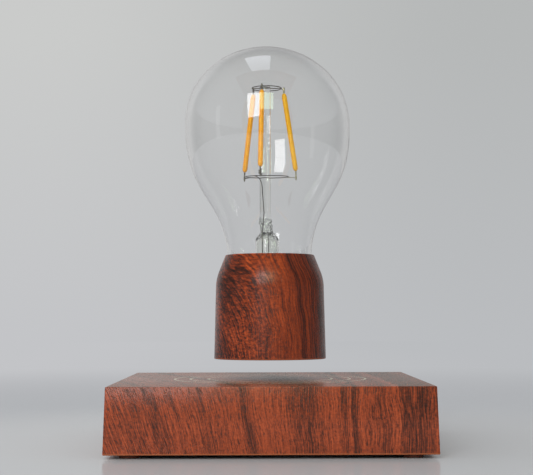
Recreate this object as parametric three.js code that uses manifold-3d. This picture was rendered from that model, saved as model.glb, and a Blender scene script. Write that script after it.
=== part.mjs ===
// Levitating lamp: a square base with magnets and coils, and a capped bulb that hovers above it.
// Millimetres, +Z up, front towards -Y. The origin is on the floor, under the middle of the base.

import * as THREE from 'three';
import { mergeVertices } from 'three/addons/utils/BufferGeometryUtils.js';
import Module from 'manifold-3d';

const wasm = await Module();
wasm.setup();

// Gaps between pieces
const fit = 0.3;
const overrun = 2;

// How many sides the round pieces have
const fineSides = 40;
const roundSides = 18;
const smallSides = 12;
const loopSides = 28;
const wireSides = 6;

// Small round feet under the base
const foot = { radius: 4, height: 1.5, edge: 0.4, insetX: 9.4, insetY: 7.4 };

// Square housing, its walls leaning out a little towards the bottom
const base = { topSide: 124, draft: 0.8, height: 25.3, wall: 3, topThickness: 2.4 };

// Corner posts inside the housing: a wide upper part and a narrow end that takes a cover screw
const post = { inset: 12, radius: 5.2, endRadius: 3.2, boreEnd: 0.5 };

// Bottom cover with screw tubes and board standoffs
const cover = { thickness: 2.4, tubeWall: 1.7, counterbore: 1.4 };
const standoff = { radius: 3, height: 2.1, inset: 5, boreEnd: 0.6 };

// Screws
const coverScrew = { headRadius: 2.7, headHeight: 1.3, shankRadius: 1.4, length: 9, tip: 1.2 };
const boardScrew = { headRadius: 2.2, headHeight: 1.4, shankRadius: 1.1, length: 3.6, tip: 0.8 };
const recess = { width: 0.7, depth: 0.7, spanShare: 0.62 };

// Control board and what is soldered to it
const board = { thickness: 1.6, sideGap: 1.8, endGap: 4 };
const jack = { width: 9, depth: 12, height: 11, axisHeight: 6.5, boreRadius: 3.15, floor: 2.5, setBack: 1.5 };
const jackPin = { radius: 1, root: 1.6, endInset: 1 };
const plugHole = { radius: 4.2 };
const capacitor = { radius: 4, headroom: 4.8, x: 0 };
const inductor = { side: 10, height: 5, coreRadius: 4, coreHeight: 0.8, x: -16 };
const chip = { side: 7, height: 1, x: -18 };
const touch = { radius: 5, thickness: 0.3, springRadius: 2.5, springWall: 0.8, screwGap: 8.3 };

// Carrier plate for the magnets and coils, with a pillar for the field sensors
const carrier = { thickness: 2, boardGap: 1, jackGap: 1.5, rowGap: 6, armWidth: 11, pillarSide: 6.4 };
const magnet = { radius: 11, headroom: 3.8, spacing: 18.5 };
const coil = { flangeRadius: 10.9, flange: 0.8, gap: 2.1, headroom: 0.8, windInset: 0.5 };
const coilTube = { bore: 3.2, wall: 1 };
const sensorBoard = { side: 8.4, thickness: 1.2 };
const sensor = { width: 3.6, thickness: 1.4, height: 3, reach: 2.6, headroom: 3.2 };
const transmitter = { outerRadius: 27, innerRadius: 15, thickness: 1.6 };

// How high the cap floats above the base
const hoverGap = 8.4;

// Bell-shaped cap: an almost straight body, a rounded shoulder and a straight slope up to the rim
const cap = {
  wall: 1.9,
  boreStep: 0.9,
  mouthFlare: 0.7,
  bodyHeight: 29.8,
  shoulderRadius: 18.7,
  slopeHeight: 6.85,
  lip: 0.67,
  rimLand: 3.4,
  rimRound: 0.25,
  upperBoreHeight: 11.8,
};
const slopeAngle = THREE.MathUtils.degToRad(22);

// Cover and cup in the cap's mouth, with the float magnet and the receiver above it
const cup = { recess: 0.3, floor: 1.5, wall: 1.2, airGap: 2.2 };
const receiver = { innerRadius: 9, thickness: 1.4, shield: 0.6 };
const floatMagnet = { height: 9 };
const receiverBoard = { inset: 0.9, thickness: 1.2 };
const receiverCapacitor = { radius: 4, height: 5.5, x: 8.5 };
const neckCollar = { innerRadius: 13, thickness: 4, room: 2.6 };

// Glass of the bulb: neck, bell, short belt and dome
const glass = {
  wall: 0.7,
  neckRadius: 17.7,
  neckTuck: 2.55,
  neckEase: 25.5,
  bellLength: 54.7,
  bellEase: 27,
  beltRadius: 34.9,
  beltLength: 4.3,
  domeHeight: 32.2,
};

// Glass stem inside the neck: flare, tube, pinch and rod, standing a little left of the middle
const stem = {
  lean: -1.1,
  wall: 1,
  flareHeight: 13.2,
  tubeLength: 14.8,
  tubeRoom: 0.32,
  shoulderHeight: 2.5,
  shoulderShare: 0.7,
  pinchRadius: 2.6,
  pinchHeight: 5.5,
  rodRadius: 2.35,
  tip: 1.3,
  leadRoom: 0.42,
};

// Wires and light strips, their heights counted from the neck's end
const wire = { radius: 0.28 };
const strip = { radius: 1, tabRadius: 0.35, lowerTab: 2.4, upperTab: 1.35 };
const cage = { lowerRadius: 13, upperRadius: 7.7 };
const lowerBus = { radius: 9.2, height: 54 };
const upperBus = { radius: 6.3, height: 91.9 };
const stripAngles = {
  filament_right: THREE.MathUtils.degToRad(17.6),
  filament_middle: THREE.MathUtils.degToRad(-102.4),
  filament_left: THREE.MathUtils.degToRad(137.6),
};

// Heights in the base, from the floor up
const baseBottom = foot.height;
const baseTop = baseBottom + base.height;
const ceiling = baseTop - base.topThickness;
const coverTop = baseBottom + cover.thickness;
const boardBottom = coverTop + standoff.height;
const boardTop = boardBottom + board.thickness;
const carrierBottom = boardTop + carrier.boardGap;
const shoulder = carrierBottom + carrier.thickness;
const spiralBottom = ceiling - transmitter.thickness;
const coilHeight = spiralBottom - coil.headroom - shoulder;
const sensorSeat = ceiling - sensor.headroom - sensor.height;
const capBottom = baseTop + hoverGap;

// Places in the base, seen from above
const cavitySide = base.topSide - 2 * base.wall;
const postOffset = cavitySide / 2 - post.inset;
const tubeRadius = post.endRadius + fit + cover.tubeWall;
const boardSizeX = 2 * (postOffset - tubeRadius - board.sideGap);
const boardSizeY = cavitySide - 2 * board.endGap;
const standoffX = boardSizeX / 2 - standoff.inset;
const standoffY = boardSizeY / 2 - standoff.inset;
const touchX = standoffX - boardScrew.headRadius - touch.screwGap - touch.springRadius;
const jackFace = cavitySide / 2 - jack.setBack;
const jackBoreDepth = jack.depth - jack.floor;
const carrierRadius = jackFace - jack.depth - carrier.jackGap;
const frontRow = -(carrierRadius + carrier.rowGap);
const coilRing = coil.flangeRadius * Math.SQRT2 + coil.gap;
const magnetOffset = (coilRing + magnet.spacing) * Math.SQRT1_2;
const coilTubeRadius = coilTube.bore + coilTube.wall;

// Sizes of the cap, from the glass neck that it holds outwards
const opening = glass.neckRadius + fit;
const rimRadius = opening + cap.lip;
const slopeRadius = rimRadius + cap.slopeHeight * Math.tan(slopeAngle);
const bodyRadius = slopeRadius + cap.shoulderRadius * (1 - Math.cos(slopeAngle));
const capHeight = cap.bodyHeight + cap.shoulderRadius * Math.sin(slopeAngle) + cap.slopeHeight;
const boreRadius = bodyRadius - cap.wall;
const upperBoreRadius = boreRadius - cap.boreStep;
const cupRadius = boreRadius - fit - cup.wall;

// Heights in the cap, from its mouth up
const receiverBottom = cup.recess + cup.floor;
const shieldBottom = receiverBottom + receiver.thickness;
const floatMagnetBottom = shieldBottom + receiver.shield + fit;
const receiverBoardSeat = floatMagnetBottom + floatMagnet.height + cup.airGap;
const receiverBoardFace = receiverBoardSeat + receiverBoard.thickness;
const collarBottom = receiverBoardFace + neckCollar.room;
const neckSeat = collarBottom + neckCollar.thickness;
const neckLength = capHeight - neckSeat - glass.neckTuck;

// Sizes of the stem and heights of the strips, from the neck's end up
const leadReach = stem.pinchRadius + stem.leadRoom + wire.radius;
const stemTubeRadius = leadReach + wire.radius + stem.tubeRoom + stem.wall;
const stemRimRadius = glass.neckRadius - glass.wall - fit - Math.abs(stem.lean);
const stemTubeTop = stem.flareHeight + stem.tubeLength;
const stemHeight = upperBus.height + stem.tip;
const stripBottom = lowerBus.height + wire.radius + fit + strip.lowerTab;
const stripTop = upperBus.height - wire.radius - fit - strip.upperTab;

// Plain surface of a colour, with how rough and how metallic it is
function surface(color, roughness, metalness = 0) {
  return new THREE.MeshStandardMaterial({ color, roughness, metalness });
}

// Surface finishes, one function per material
const shellFinish = () => surface(0x844532, 0.42);
const capFinish = () => surface(0x7f412c, 0.36);
const footFinish = () => surface(0x52271e, 0.8);
const darkPlastic = () => surface(0x1d1c1c, 0.55);
const palePlastic = () => surface(0xd9d6cc, 0.5);
const circuitFinish = () => surface(0x1f5a3a, 0.45);
const copperFinish = () => surface(0xb8662f, 0.35, 0.9);
const brassFinish = () => surface(0xc9a24b, 0.25, 1);
const steelFinish = () => surface(0xb9bcc0, 0.3, 1);
const canFinish = () => surface(0x3a3c42, 0.35, 0.8);
const ironFinish = () => surface(0x6a6c70, 0.5, 0.9);
const ferriteFinish = () => surface(0x3b3a3d, 0.7);
const wireFinish = () => surface(0x4f4c46, 0.4, 1);
const stripFinish = () => surface(0xe5a03c, 0.5);

// Clear glass
function glassFinish() {
  const material = surface(0xe9eceb, 0.04);
  material.transparent = true;
  material.opacity = 0.25;
  return material;
}

// Turns a closed geometry into a solid that can be cut and joined
function toSolid(geometry) {
  const bare = geometry.clone();
  bare.deleteAttribute('normal');
  bare.deleteAttribute('uv');
  const welded = mergeVertices(bare);
  const vertProperties = Float32Array.from(welded.attributes.position.array);
  const triVerts = Uint32Array.from(welded.index.array);
  return new wasm.Manifold(new wasm.Mesh({ numProp: 3, vertProperties, triVerts }));
}

// Turns a solid back into a geometry
function toGeometry(solid) {
  const mesh = solid.getMesh();
  const geometry = new THREE.BufferGeometry();
  geometry.setAttribute('position', new THREE.BufferAttribute(mesh.vertProperties, 3));
  geometry.setIndex(new THREE.BufferAttribute(mesh.triVerts, 1));
  geometry.computeVertexNormals();
  return geometry;
}

// Joins several geometries into one
function join(...geometries) {
  const solids = geometries.map(toSolid);
  return toGeometry(solids.reduce((whole, next) => whole.add(next)));
}

// Cuts several geometries out of the first one
function cut(body, ...tools) {
  const solids = tools.map(toSolid);
  return toGeometry(solids.reduce((rest, next) => rest.subtract(next), toSolid(body)));
}

// Upright round bar between two heights
function disc(radius, bottom, height, sides = roundSides) {
  const geometry = new THREE.CylinderGeometry(radius, radius, height, sides);
  geometry.rotateX(Math.PI / 2);
  return geometry.translate(0, 0, bottom + height / 2);
}

// Upright box on a given height, centred on the axis
function block(sizeX, sizeY, bottom, height) {
  return new THREE.BoxGeometry(sizeX, sizeY, height).translate(0, 0, bottom + height / 2);
}

// Solid turned about the upright axis from [radius, height] points, bottom first on the outside
function turned(points, sides = roundSides) {
  const profile = points.map(([radius, height]) => new THREE.Vector2(radius, height));
  return new THREE.LatheGeometry(profile, sides).rotateX(Math.PI / 2);
}

// Flat ring between two heights
function ring(outerRadius, innerRadius, bottom, height, sides = roundSides) {
  const top = bottom + height;
  const corners = [[innerRadius, bottom], [outerRadius, bottom], [outerRadius, top], [innerRadius, top]];
  return turned([...corners, corners[0]], sides);
}

// Block whose walls lean out evenly towards the bottom
function draftedBlock(topSide, bottomSide, bottom, height) {
  const geometry = new THREE.BoxGeometry(topSide, topSide, height);
  const position = geometry.attributes.position;
  const spread = bottomSide / topSide;
  for (let i = 0; i < position.count; i += 1) {
    if (position.getZ(i) < 0) {
      position.setXY(i, position.getX(i) * spread, position.getY(i) * spread);
    }
  }
  return geometry.translate(0, 0, bottom + height / 2);
}

// Width of the housing's cavity at a height
function cavitySideAt(height) {
  return cavitySide + (2 * base.draft * (baseTop - height)) / base.height;
}

// Round wire along a curve
function wireAlong(curve, steps) {
  const section = new THREE.Shape();
  section.absarc(0, 0, wire.radius, 0, 2 * Math.PI);
  return new THREE.ExtrudeGeometry(section, {
    steps,
    extrudePath: curve,
    curveSegments: wireSides,
    bevelEnabled: false,
  });
}

// The four places of a square pattern, with a name for each
function corners(offsetX, offsetY) {
  return [
    ['front_left', -offsetX, -offsetY],
    ['front_right', offsetX, -offsetY],
    ['rear_left', -offsetX, offsetY],
    ['rear_right', offsetX, offsetY],
  ];
}

// Copies of a geometry at the four posts
function atPosts(geometry) {
  return corners(postOffset, postOffset).map(([, x, y]) => geometry.clone().translate(x, y, 0));
}

// Copies of a geometry at the four standoffs
function atStandoffs(geometry) {
  return corners(standoffX, standoffY).map(([, x, y]) => geometry.clone().translate(x, y, 0));
}

// Adds a named mesh to a group
function addMesh(group, name, geometry, material, x = 0, y = 0, z = 0) {
  const mesh = new THREE.Mesh(geometry, material);
  mesh.name = name;
  mesh.position.set(x, y, z);
  group.add(mesh);
  return mesh;
}

// Cross-recessed screw that points up, its head's outer face at zero
function screwGeometry(size) {
  const shankTop = size.headHeight + size.length;
  const body = turned([
    [0, 0],
    [size.headRadius, 0],
    [size.headRadius, size.headHeight],
    [size.shankRadius, size.headHeight],
    [size.shankRadius, shankTop - size.tip],
    [0, shankTop],
  ], smallSides);
  const span = 2 * size.headRadius * recess.spanShare;
  const slot = block(span, recess.width, -overrun, overrun + recess.depth);
  const crossSlot = slot.clone().rotateZ(Math.PI / 2);
  return cut(body, slot, crossSlot);
}

// Housing: five walls, four stepped posts and the hole for the plug
function baseShell() {
  const outer = draftedBlock(base.topSide, base.topSide + 2 * base.draft, baseBottom, base.height);
  const cavityBottom = baseBottom - overrun;
  const cavityDepth = ceiling - cavityBottom;
  const cavity = draftedBlock(cavitySideAt(ceiling), cavitySideAt(cavityBottom), cavityBottom, cavityDepth);
  const rooted = ceiling + base.topThickness / 2;
  const upper = disc(post.radius, shoulder, rooted - shoulder, smallSides);
  const lower = disc(post.endRadius, coverTop, rooted - coverTop, smallSides);
  const boreDepth = coverScrew.length - (cover.thickness - cover.counterbore) + post.boreEnd;
  const bore = disc(coverScrew.shankRadius + fit, coverTop - overrun, overrun + boreDepth, smallSides);
  const plug = disc(plugHole.radius, 0, base.wall + 2 * overrun).rotateX(-Math.PI / 2);
  plug.translate(0, cavitySide / 2 - overrun, boardTop + jack.axisHeight);
  const body = join(cut(outer, cavity), ...atPosts(upper), ...atPosts(lower));
  return cut(body, plug, ...atPosts(bore));
}

// Bottom cover: plate, screw tubes round the posts, and standoffs for the board
function bottomCover() {
  const side = cavitySideAt(coverTop) - 2 * fit;
  const plate = block(side, side, baseBottom, cover.thickness);
  const rooted = coverTop - cover.thickness / 2;
  const tube = disc(tubeRadius, rooted, carrierBottom - rooted, smallSides);
  const peg = disc(standoff.radius, rooted, boardBottom - rooted, smallSides);
  const well = disc(post.endRadius + fit, coverTop, carrierBottom - coverTop + overrun, smallSides);
  const below = baseBottom - overrun;
  const screwHole = disc(coverScrew.shankRadius + fit, below, cover.thickness + 2 * overrun, smallSides);
  const counterbore = disc(coverScrew.headRadius + fit, below, overrun + cover.counterbore, smallSides);
  const pilotDepth = boardScrew.length - board.thickness + standoff.boreEnd;
  const pilotRadius = boardScrew.shankRadius + fit;
  const pilot = disc(pilotRadius, boardBottom - pilotDepth, pilotDepth + overrun, smallSides);
  const body = join(plate, ...atPosts(tube), ...atStandoffs(peg));
  return cut(body, ...[well, screwHole, counterbore].flatMap(atPosts), ...atStandoffs(pilot));
}

// Foot with a small bevel round its lower edge
function footGeometry() {
  return turned([
    [0, 0],
    [foot.radius - foot.edge, 0],
    [foot.radius, foot.edge],
    [foot.radius, foot.height],
    [0, foot.height],
  ]);
}

// Control board with its screw holes
function controlBoard() {
  const plate = block(boardSizeX, boardSizeY, boardBottom, board.thickness);
  const depth = board.thickness + 2 * overrun;
  const hole = disc(boardScrew.shankRadius + fit, boardBottom - overrun, depth, smallSides);
  return cut(plate, ...atStandoffs(hole));
}

// Turns an upright bar to the jack's axis, its top towards the rear
function onJackAxis(geometry) {
  return geometry.rotateX(-Math.PI / 2).translate(0, 0, jack.axisHeight);
}

// Power jack with a round bore that faces the rear and a seat for its pin
function dcJack() {
  const body = block(jack.width, jack.depth, 0, jack.height).translate(0, -jack.depth / 2, 0);
  const bore = disc(jack.boreRadius, -jackBoreDepth, jackBoreDepth + overrun);
  const seatBottom = -jackBoreDepth - jackPin.root;
  const seat = disc(jackPin.radius + fit, seatBottom, jackPin.root + overrun, smallSides);
  return cut(body, onJackAxis(bore), onJackAxis(seat));
}

// Pin in the middle of the jack's bore, from the seat's floor outwards
function dcJackPin() {
  const bottom = -jackBoreDepth - jackPin.root + fit;
  return onJackAxis(disc(jackPin.radius, bottom, -jackPin.endInset - bottom, smallSides));
}

// Square inductor with a round core showing on top
function powerInductor() {
  const body = block(inductor.side, inductor.side, 0, inductor.height);
  const core = disc(inductor.coreRadius, inductor.height / 2, inductor.height / 2 + inductor.coreHeight);
  return join(body, core);
}

// Carrier plate with an arm to each post and a pillar in the middle
function magnetCarrier() {
  const plate = disc(carrierRadius, carrierBottom, carrier.thickness, fineSides);
  const reach = Math.hypot(postOffset, postOffset);
  const arm = block(2 * reach, carrier.armWidth, carrierBottom, carrier.thickness);
  const arms = [1, 3].map((quarter) => arm.clone().rotateZ((quarter * Math.PI) / 4));
  const eye = disc(carrier.armWidth / 2, carrierBottom, carrier.thickness, smallSides);
  const pillarTop = sensorSeat - sensorBoard.thickness;
  const pillar = block(carrier.pillarSide, carrier.pillarSide, carrierBottom, pillarTop - carrierBottom);
  const depth = carrier.thickness + 2 * overrun;
  const hole = disc(post.endRadius + fit, carrierBottom - overrun, depth, smallSides);
  return cut(join(plate, ...arms, pillar, ...atPosts(eye)), ...atPosts(hole));
}

// Bobbin with a flange at each end
function coilBobbin() {
  return turned([
    [coilTube.bore, 0],
    [coil.flangeRadius, 0],
    [coil.flangeRadius, coil.flange],
    [coilTubeRadius, coil.flange],
    [coilTubeRadius, coilHeight - coil.flange],
    [coil.flangeRadius, coilHeight - coil.flange],
    [coil.flangeRadius, coilHeight],
    [coilTube.bore, coilHeight],
    [coilTube.bore, 0],
  ], smallSides);
}

// Winding that fills the bobbin between its flanges
function coilWinding() {
  const bottom = coil.flange + fit;
  const outer = coil.flangeRadius - coil.windInset;
  return ring(outer, coilTubeRadius + fit, bottom, coilHeight - 2 * bottom, smallSides);
}

// Bell-shaped cap, open at both ends
function capShell() {
  const arcSteps = 5;
  const shoulderArc = Array.from({ length: arcSteps }, (_, i) => {
    const angle = (slopeAngle * (i + 1)) / arcSteps;
    const radius = bodyRadius - cap.shoulderRadius * (1 - Math.cos(angle));
    return [radius, cap.bodyHeight + cap.shoulderRadius * Math.sin(angle)];
  });
  return turned([
    [boreRadius, 0],
    [bodyRadius + cap.mouthFlare, 0],
    [bodyRadius, cap.bodyHeight],
    ...shoulderArc,
    [rimRadius + cap.rimRound * Math.tan(slopeAngle), capHeight - cap.rimRound],
    [rimRadius - cap.rimRound / 2, capHeight],
    [opening, capHeight],
    [opening, capHeight - cap.rimLand],
    [upperBoreRadius, neckSeat + cap.upperBoreHeight],
    [upperBoreRadius, neckSeat],
    [boreRadius, neckSeat],
    [boreRadius, 0],
  ], fineSides);
}

// Cover in the cap's mouth, with the cup wall that holds the magnet
function capCover() {
  return turned([
    [0, cup.recess],
    [cupRadius + cup.wall, cup.recess],
    [cupRadius + cup.wall, receiverBoardSeat],
    [cupRadius, receiverBoardSeat],
    [cupRadius, receiverBottom],
    [0, receiverBottom],
  ], fineSides);
}

// Points of the glass from its neck end up to its top, set in by a distance
function glassOutline(inset, bellSteps, domeSteps) {
  const neck = glass.neckRadius - inset;
  const belt = glass.beltRadius - inset;
  const bellBottom = neckLength;
  const bellTop = bellBottom + glass.bellLength;
  const beltTop = bellTop + glass.beltLength;
  const bell = new THREE.CubicBezierCurve(
    new THREE.Vector2(neck, bellBottom),
    new THREE.Vector2(neck, bellBottom + glass.neckEase),
    new THREE.Vector2(belt, bellTop - glass.bellEase),
    new THREE.Vector2(belt, bellTop),
  );
  const dome = new THREE.EllipseCurve(0, beltTop, belt, glass.domeHeight - inset, 0, Math.PI / 2);
  const points = [[neck, 0], ...bell.getPoints(bellSteps).map((p) => [p.x, p.y])];
  dome.getPoints(domeSteps).forEach((p, i) => points.push([i === domeSteps ? 0 : p.x, p.y]));
  return points;
}

// Glass envelope, open at the end of its neck
function glassEnvelope() {
  const outside = glassOutline(0, 9, 8);
  const inside = glassOutline(glass.wall, 6, 6).reverse();
  return turned([...outside, ...inside, outside[0]], fineSides);
}

// Points of the flare from its rim up to the tube, set in by a distance
function flarePoints(inset) {
  const rim = stemRimRadius - inset;
  const tube = stemTubeRadius - inset;
  const middle = stem.flareHeight / 2;
  const flare = new THREE.CubicBezierCurve(
    new THREE.Vector2(rim, 0),
    new THREE.Vector2(rim, middle),
    new THREE.Vector2(tube, middle),
    new THREE.Vector2(tube, stem.flareHeight),
  );
  return flare.getPoints(5).map((p) => [p.x, p.y]);
}

// Closed outline of the stem: outside from the rim to the rod's tip, then the hollow of the tube
function stemOutline() {
  const pinchBottom = stemTubeTop + stem.shoulderHeight;
  const pinchTop = pinchBottom + stem.pinchHeight;
  const rounding = stem.rodRadius / 2;
  const hollowTop = stemTubeTop - stem.wall / 2;
  const outside = [
    ...flarePoints(0),
    [stemTubeRadius, stemTubeTop],
    [(stemTubeRadius + stem.pinchRadius) / 2, stemTubeTop + stem.shoulderHeight * stem.shoulderShare],
    [stem.pinchRadius, pinchBottom],
    [stem.pinchRadius, pinchTop],
    [stem.rodRadius, pinchTop + rounding],
    [stem.rodRadius, stemHeight - rounding],
    [rounding, stemHeight],
    [0, stemHeight],
  ];
  const hollowCorner = [stemTubeRadius - stem.wall, hollowTop];
  const hollow = [[0, hollowTop], hollowCorner, ...flarePoints(stem.wall).reverse()];
  return [...outside, ...hollow, outside[0]];
}

// Glass stem with the two wire holes in its shoulder and a cross hole near the rod's tip
function glassStem() {
  const holeRadius = wire.radius + fit;
  const holeBottom = stemTubeTop - stem.wall;
  const hole = disc(holeRadius, holeBottom, stem.shoulderHeight + stem.wall + overrun, wireSides);
  const holes = [1, -1].map((side) => {
    const place = leadDirection(side).multiplyScalar(leadReach);
    return hole.clone().translate(place.x, place.y, 0);
  });
  const reach = stem.rodRadius + overrun;
  const crossHole = disc(holeRadius, -reach, 2 * reach, wireSides).rotateY(Math.PI / 2);
  crossHole.translate(0, 0, upperBus.height);
  return cut(turned(stemOutline()), ...holes, crossHole);
}

// Direction from the rod to a lead-in wire: 1 for the front one, -1 for the rear one
function leadDirection(side) {
  const angle = stripAngles.filament_middle;
  return new THREE.Vector3(Math.cos(angle), Math.sin(angle), 0).multiplyScalar(side);
}

// Lead-in wire: straight up beside the rod, then bent out to a bus wire
function leadIn(side, bottom, bus) {
  const direction = leadDirection(side);
  const place = (radius, height) => direction.clone().multiplyScalar(radius).setZ(height);
  const end = bus.radius - 2 * wire.radius - fit;
  const bendBottom = bus.height - (end - leadReach);
  const start = place(leadReach, 0);
  const straight = disc(wire.radius, bottom, bendBottom - bottom, wireSides).translate(start.x, start.y, 0);
  const bend = new THREE.QuadraticBezierCurve3(
    place(leadReach, bendBottom - wire.radius),
    place(leadReach, bus.height),
    place(end, bus.height),
  );
  return join(straight, wireAlong(bend, 6));
}

// Closed ring wire and a spur out to each light strip
function busWire(bus, stripRadius) {
  const loop = new THREE.TorusGeometry(bus.radius, wire.radius, wireSides, loopSides);
  const spurLength = stripRadius + strip.tabRadius - bus.radius;
  const spur = disc(wire.radius, bus.radius, spurLength, wireSides).rotateY(Math.PI / 2);
  const spurs = Object.values(stripAngles).map((angle) => spur.clone().rotateZ(angle));
  return [loop, ...spurs].map((piece) => piece.translate(0, 0, bus.height));
}

// Upper bus wire, held by a bar through the rod
function upperBusWire() {
  const bar = disc(wire.radius, -upperBus.radius, 2 * upperBus.radius, wireSides).rotateY(Math.PI / 2);
  bar.translate(0, 0, upperBus.height);
  return join(...busWire(upperBus, cage.upperRadius), bar);
}

// Coated light strip with a metal tab at each end, along its own upright axis
function lightStrip(length) {
  const rounding = strip.radius / 2;
  return turned([
    [0, -strip.lowerTab],
    [strip.tabRadius, -strip.lowerTab],
    [strip.tabRadius, 0],
    [strip.radius, rounding],
    [strip.radius, length - rounding],
    [strip.tabRadius, length],
    [strip.tabRadius, length + strip.upperTab],
    [0, length + strip.upperTab],
  ], smallSides);
}

// Adds the three light strips, leaning in towards the top
function addLightStrips(group) {
  const up = new THREE.Vector3(0, 0, 1);
  Object.entries(stripAngles).forEach(([name, angle]) => {
    const outward = new THREE.Vector3(Math.cos(angle), Math.sin(angle), 0);
    const bottom = outward.clone().multiplyScalar(cage.lowerRadius).setZ(stripBottom);
    const top = outward.clone().multiplyScalar(cage.upperRadius).setZ(stripTop);
    const run = top.clone().sub(bottom);
    const mesh = addMesh(group, name, lightStrip(run.length()), stripFinish());
    mesh.position.copy(bottom);
    mesh.quaternion.setFromUnitVectors(up, run.normalize());
  });
}

// Housing, cover, feet and cover screws
function addHousing(group) {
  addMesh(group, 'base_shell', baseShell(), shellFinish());
  addMesh(group, 'bottom_cover', bottomCover(), darkPlastic());
  const bottomHalf = base.topSide / 2 + base.draft;
  corners(bottomHalf - foot.insetX, bottomHalf - foot.insetY).forEach(([place, x, y]) => {
    addMesh(group, `foot_${place}`, footGeometry(), footFinish(), x, y);
  });
  const headFace = baseBottom + cover.counterbore - coverScrew.headHeight;
  corners(postOffset, postOffset).forEach(([place, x, y]) => {
    addMesh(group, `cover_screw_${place}`, screwGeometry(coverScrew), steelFinish(), x, y, headFace);
  });
}

// Control board and its two screws
function addBoard(group) {
  addMesh(group, 'control_board', controlBoard(), circuitFinish());
  const headFace = boardTop + boardScrew.headHeight;
  const screwed = corners(standoffX, standoffY).filter(([place]) => place.endsWith('right'));
  screwed.forEach(([place, x, y]) => {
    const geometry = screwGeometry(boardScrew).rotateX(Math.PI);
    addMesh(group, `board_screw_${place}`, geometry, steelFinish(), x, y, headFace);
  });
}

// What is soldered to the control board, and the touch contact that rises from it
function addBoardParts(group) {
  addMesh(group, 'dc_jack', dcJack(), darkPlastic(), 0, jackFace, boardTop);
  addMesh(group, 'dc_jack_pin', dcJackPin(), brassFinish(), 0, jackFace, boardTop);
  const can = disc(capacitor.radius, 0, ceiling - capacitor.headroom - boardTop);
  addMesh(group, 'filter_capacitor', can, canFinish(), capacitor.x, frontRow, boardTop);
  addMesh(group, 'power_inductor', powerInductor(), ferriteFinish(), inductor.x, frontRow, boardTop);
  const chipBody = block(chip.side, chip.side, 0, chip.height);
  addMesh(group, 'controller_chip', chipBody, darkPlastic(), chip.x, -frontRow, boardTop);
  const electrodeBottom = ceiling - touch.thickness;
  const bore = touch.springRadius - touch.springWall;
  const spring = ring(touch.springRadius, bore, boardTop, electrodeBottom - boardTop, smallSides);
  addMesh(group, 'touch_spring', spring, steelFinish(), touchX, frontRow);
  const electrode = disc(touch.radius, electrodeBottom, touch.thickness);
  addMesh(group, 'touch_electrode', electrode, copperFinish(), touchX, frontRow);
}

// Magnets on the diagonals of the carrier and electromagnets on its axes
function addMagnets(group) {
  addMesh(group, 'magnet_carrier', magnetCarrier(), palePlastic());
  const magnetHeight = ceiling - magnet.headroom - shoulder;
  corners(magnetOffset, magnetOffset).forEach(([place, x, y]) => {
    addMesh(group, `base_magnet_${place}`, disc(magnet.radius, shoulder, magnetHeight), steelFinish(), x, y);
  });
  const acrossX = [['right', coilRing, 0], ['left', -coilRing, 0]];
  const acrossY = [['rear', 0, coilRing], ['front', 0, -coilRing]];
  [...acrossX, ...acrossY].forEach(([place, x, y]) => {
    const core = disc(coilTube.bore - fit, 0, coilHeight, smallSides);
    addMesh(group, `coil_bobbin_${place}`, coilBobbin(), palePlastic(), x, y, shoulder);
    addMesh(group, `coil_winding_${place}`, coilWinding(), copperFinish(), x, y, shoulder);
    addMesh(group, `coil_core_${place}`, core, ironFinish(), x, y, shoulder);
  });
}

// Field sensors on their small board, one for each direction
function addSensors(group) {
  const boardSeat = sensorSeat - sensorBoard.thickness;
  const plate = block(sensorBoard.side, sensorBoard.side, boardSeat, sensorBoard.thickness);
  addMesh(group, 'sensor_board', plate, circuitFinish());
  const upright = block(sensor.width, sensor.thickness, sensorSeat, sensor.height);
  const turnedSensor = upright.clone().rotateZ(Math.PI / 2);
  addMesh(group, 'field_sensor_x', turnedSensor, darkPlastic(), sensor.reach, 0);
  addMesh(group, 'field_sensor_y', upright.clone(), darkPlastic(), -sensor.thickness / 2, sensor.reach);
  addMesh(group, 'field_sensor_z', upright.clone(), darkPlastic(), -sensor.thickness / 2, -sensor.reach);
}

// Whole base
function makeBase() {
  const group = new THREE.Group();
  addHousing(group);
  addBoard(group);
  addBoardParts(group);
  addMagnets(group);
  addSensors(group);
  const { outerRadius, innerRadius, thickness } = transmitter;
  addMesh(group, 'transmitter_coil', ring(outerRadius, innerRadius, spiralBottom, thickness), copperFinish());
  return group;
}

// Cap, its cover, the float magnet and the receiver
function addCap(group) {
  addMesh(group, 'cap_shell', capShell(), capFinish());
  addMesh(group, 'cap_cover', capCover(), darkPlastic());
  const inCup = cupRadius - fit;
  const windings = ring(inCup, receiver.innerRadius, receiverBottom, receiver.thickness);
  addMesh(group, 'receiver_coil', windings, copperFinish());
  addMesh(group, 'receiver_shield', disc(inCup, shieldBottom, receiver.shield), ferriteFinish());
  const floating = disc(inCup, floatMagnetBottom, floatMagnet.height, fineSides);
  addMesh(group, 'float_magnet', floating, steelFinish());
  const plate = disc(boreRadius - receiverBoard.inset, receiverBoardSeat, receiverBoard.thickness);
  addMesh(group, 'receiver_board', plate, circuitFinish());
  const can = disc(receiverCapacitor.radius, receiverBoardFace, receiverCapacitor.height);
  addMesh(group, 'receiver_capacitor', can, canFinish(), receiverCapacitor.x);
  const collar = ring(boreRadius - fit, neckCollar.innerRadius, collarBottom, neckCollar.thickness);
  addMesh(group, 'neck_collar', collar, palePlastic());
}

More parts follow.
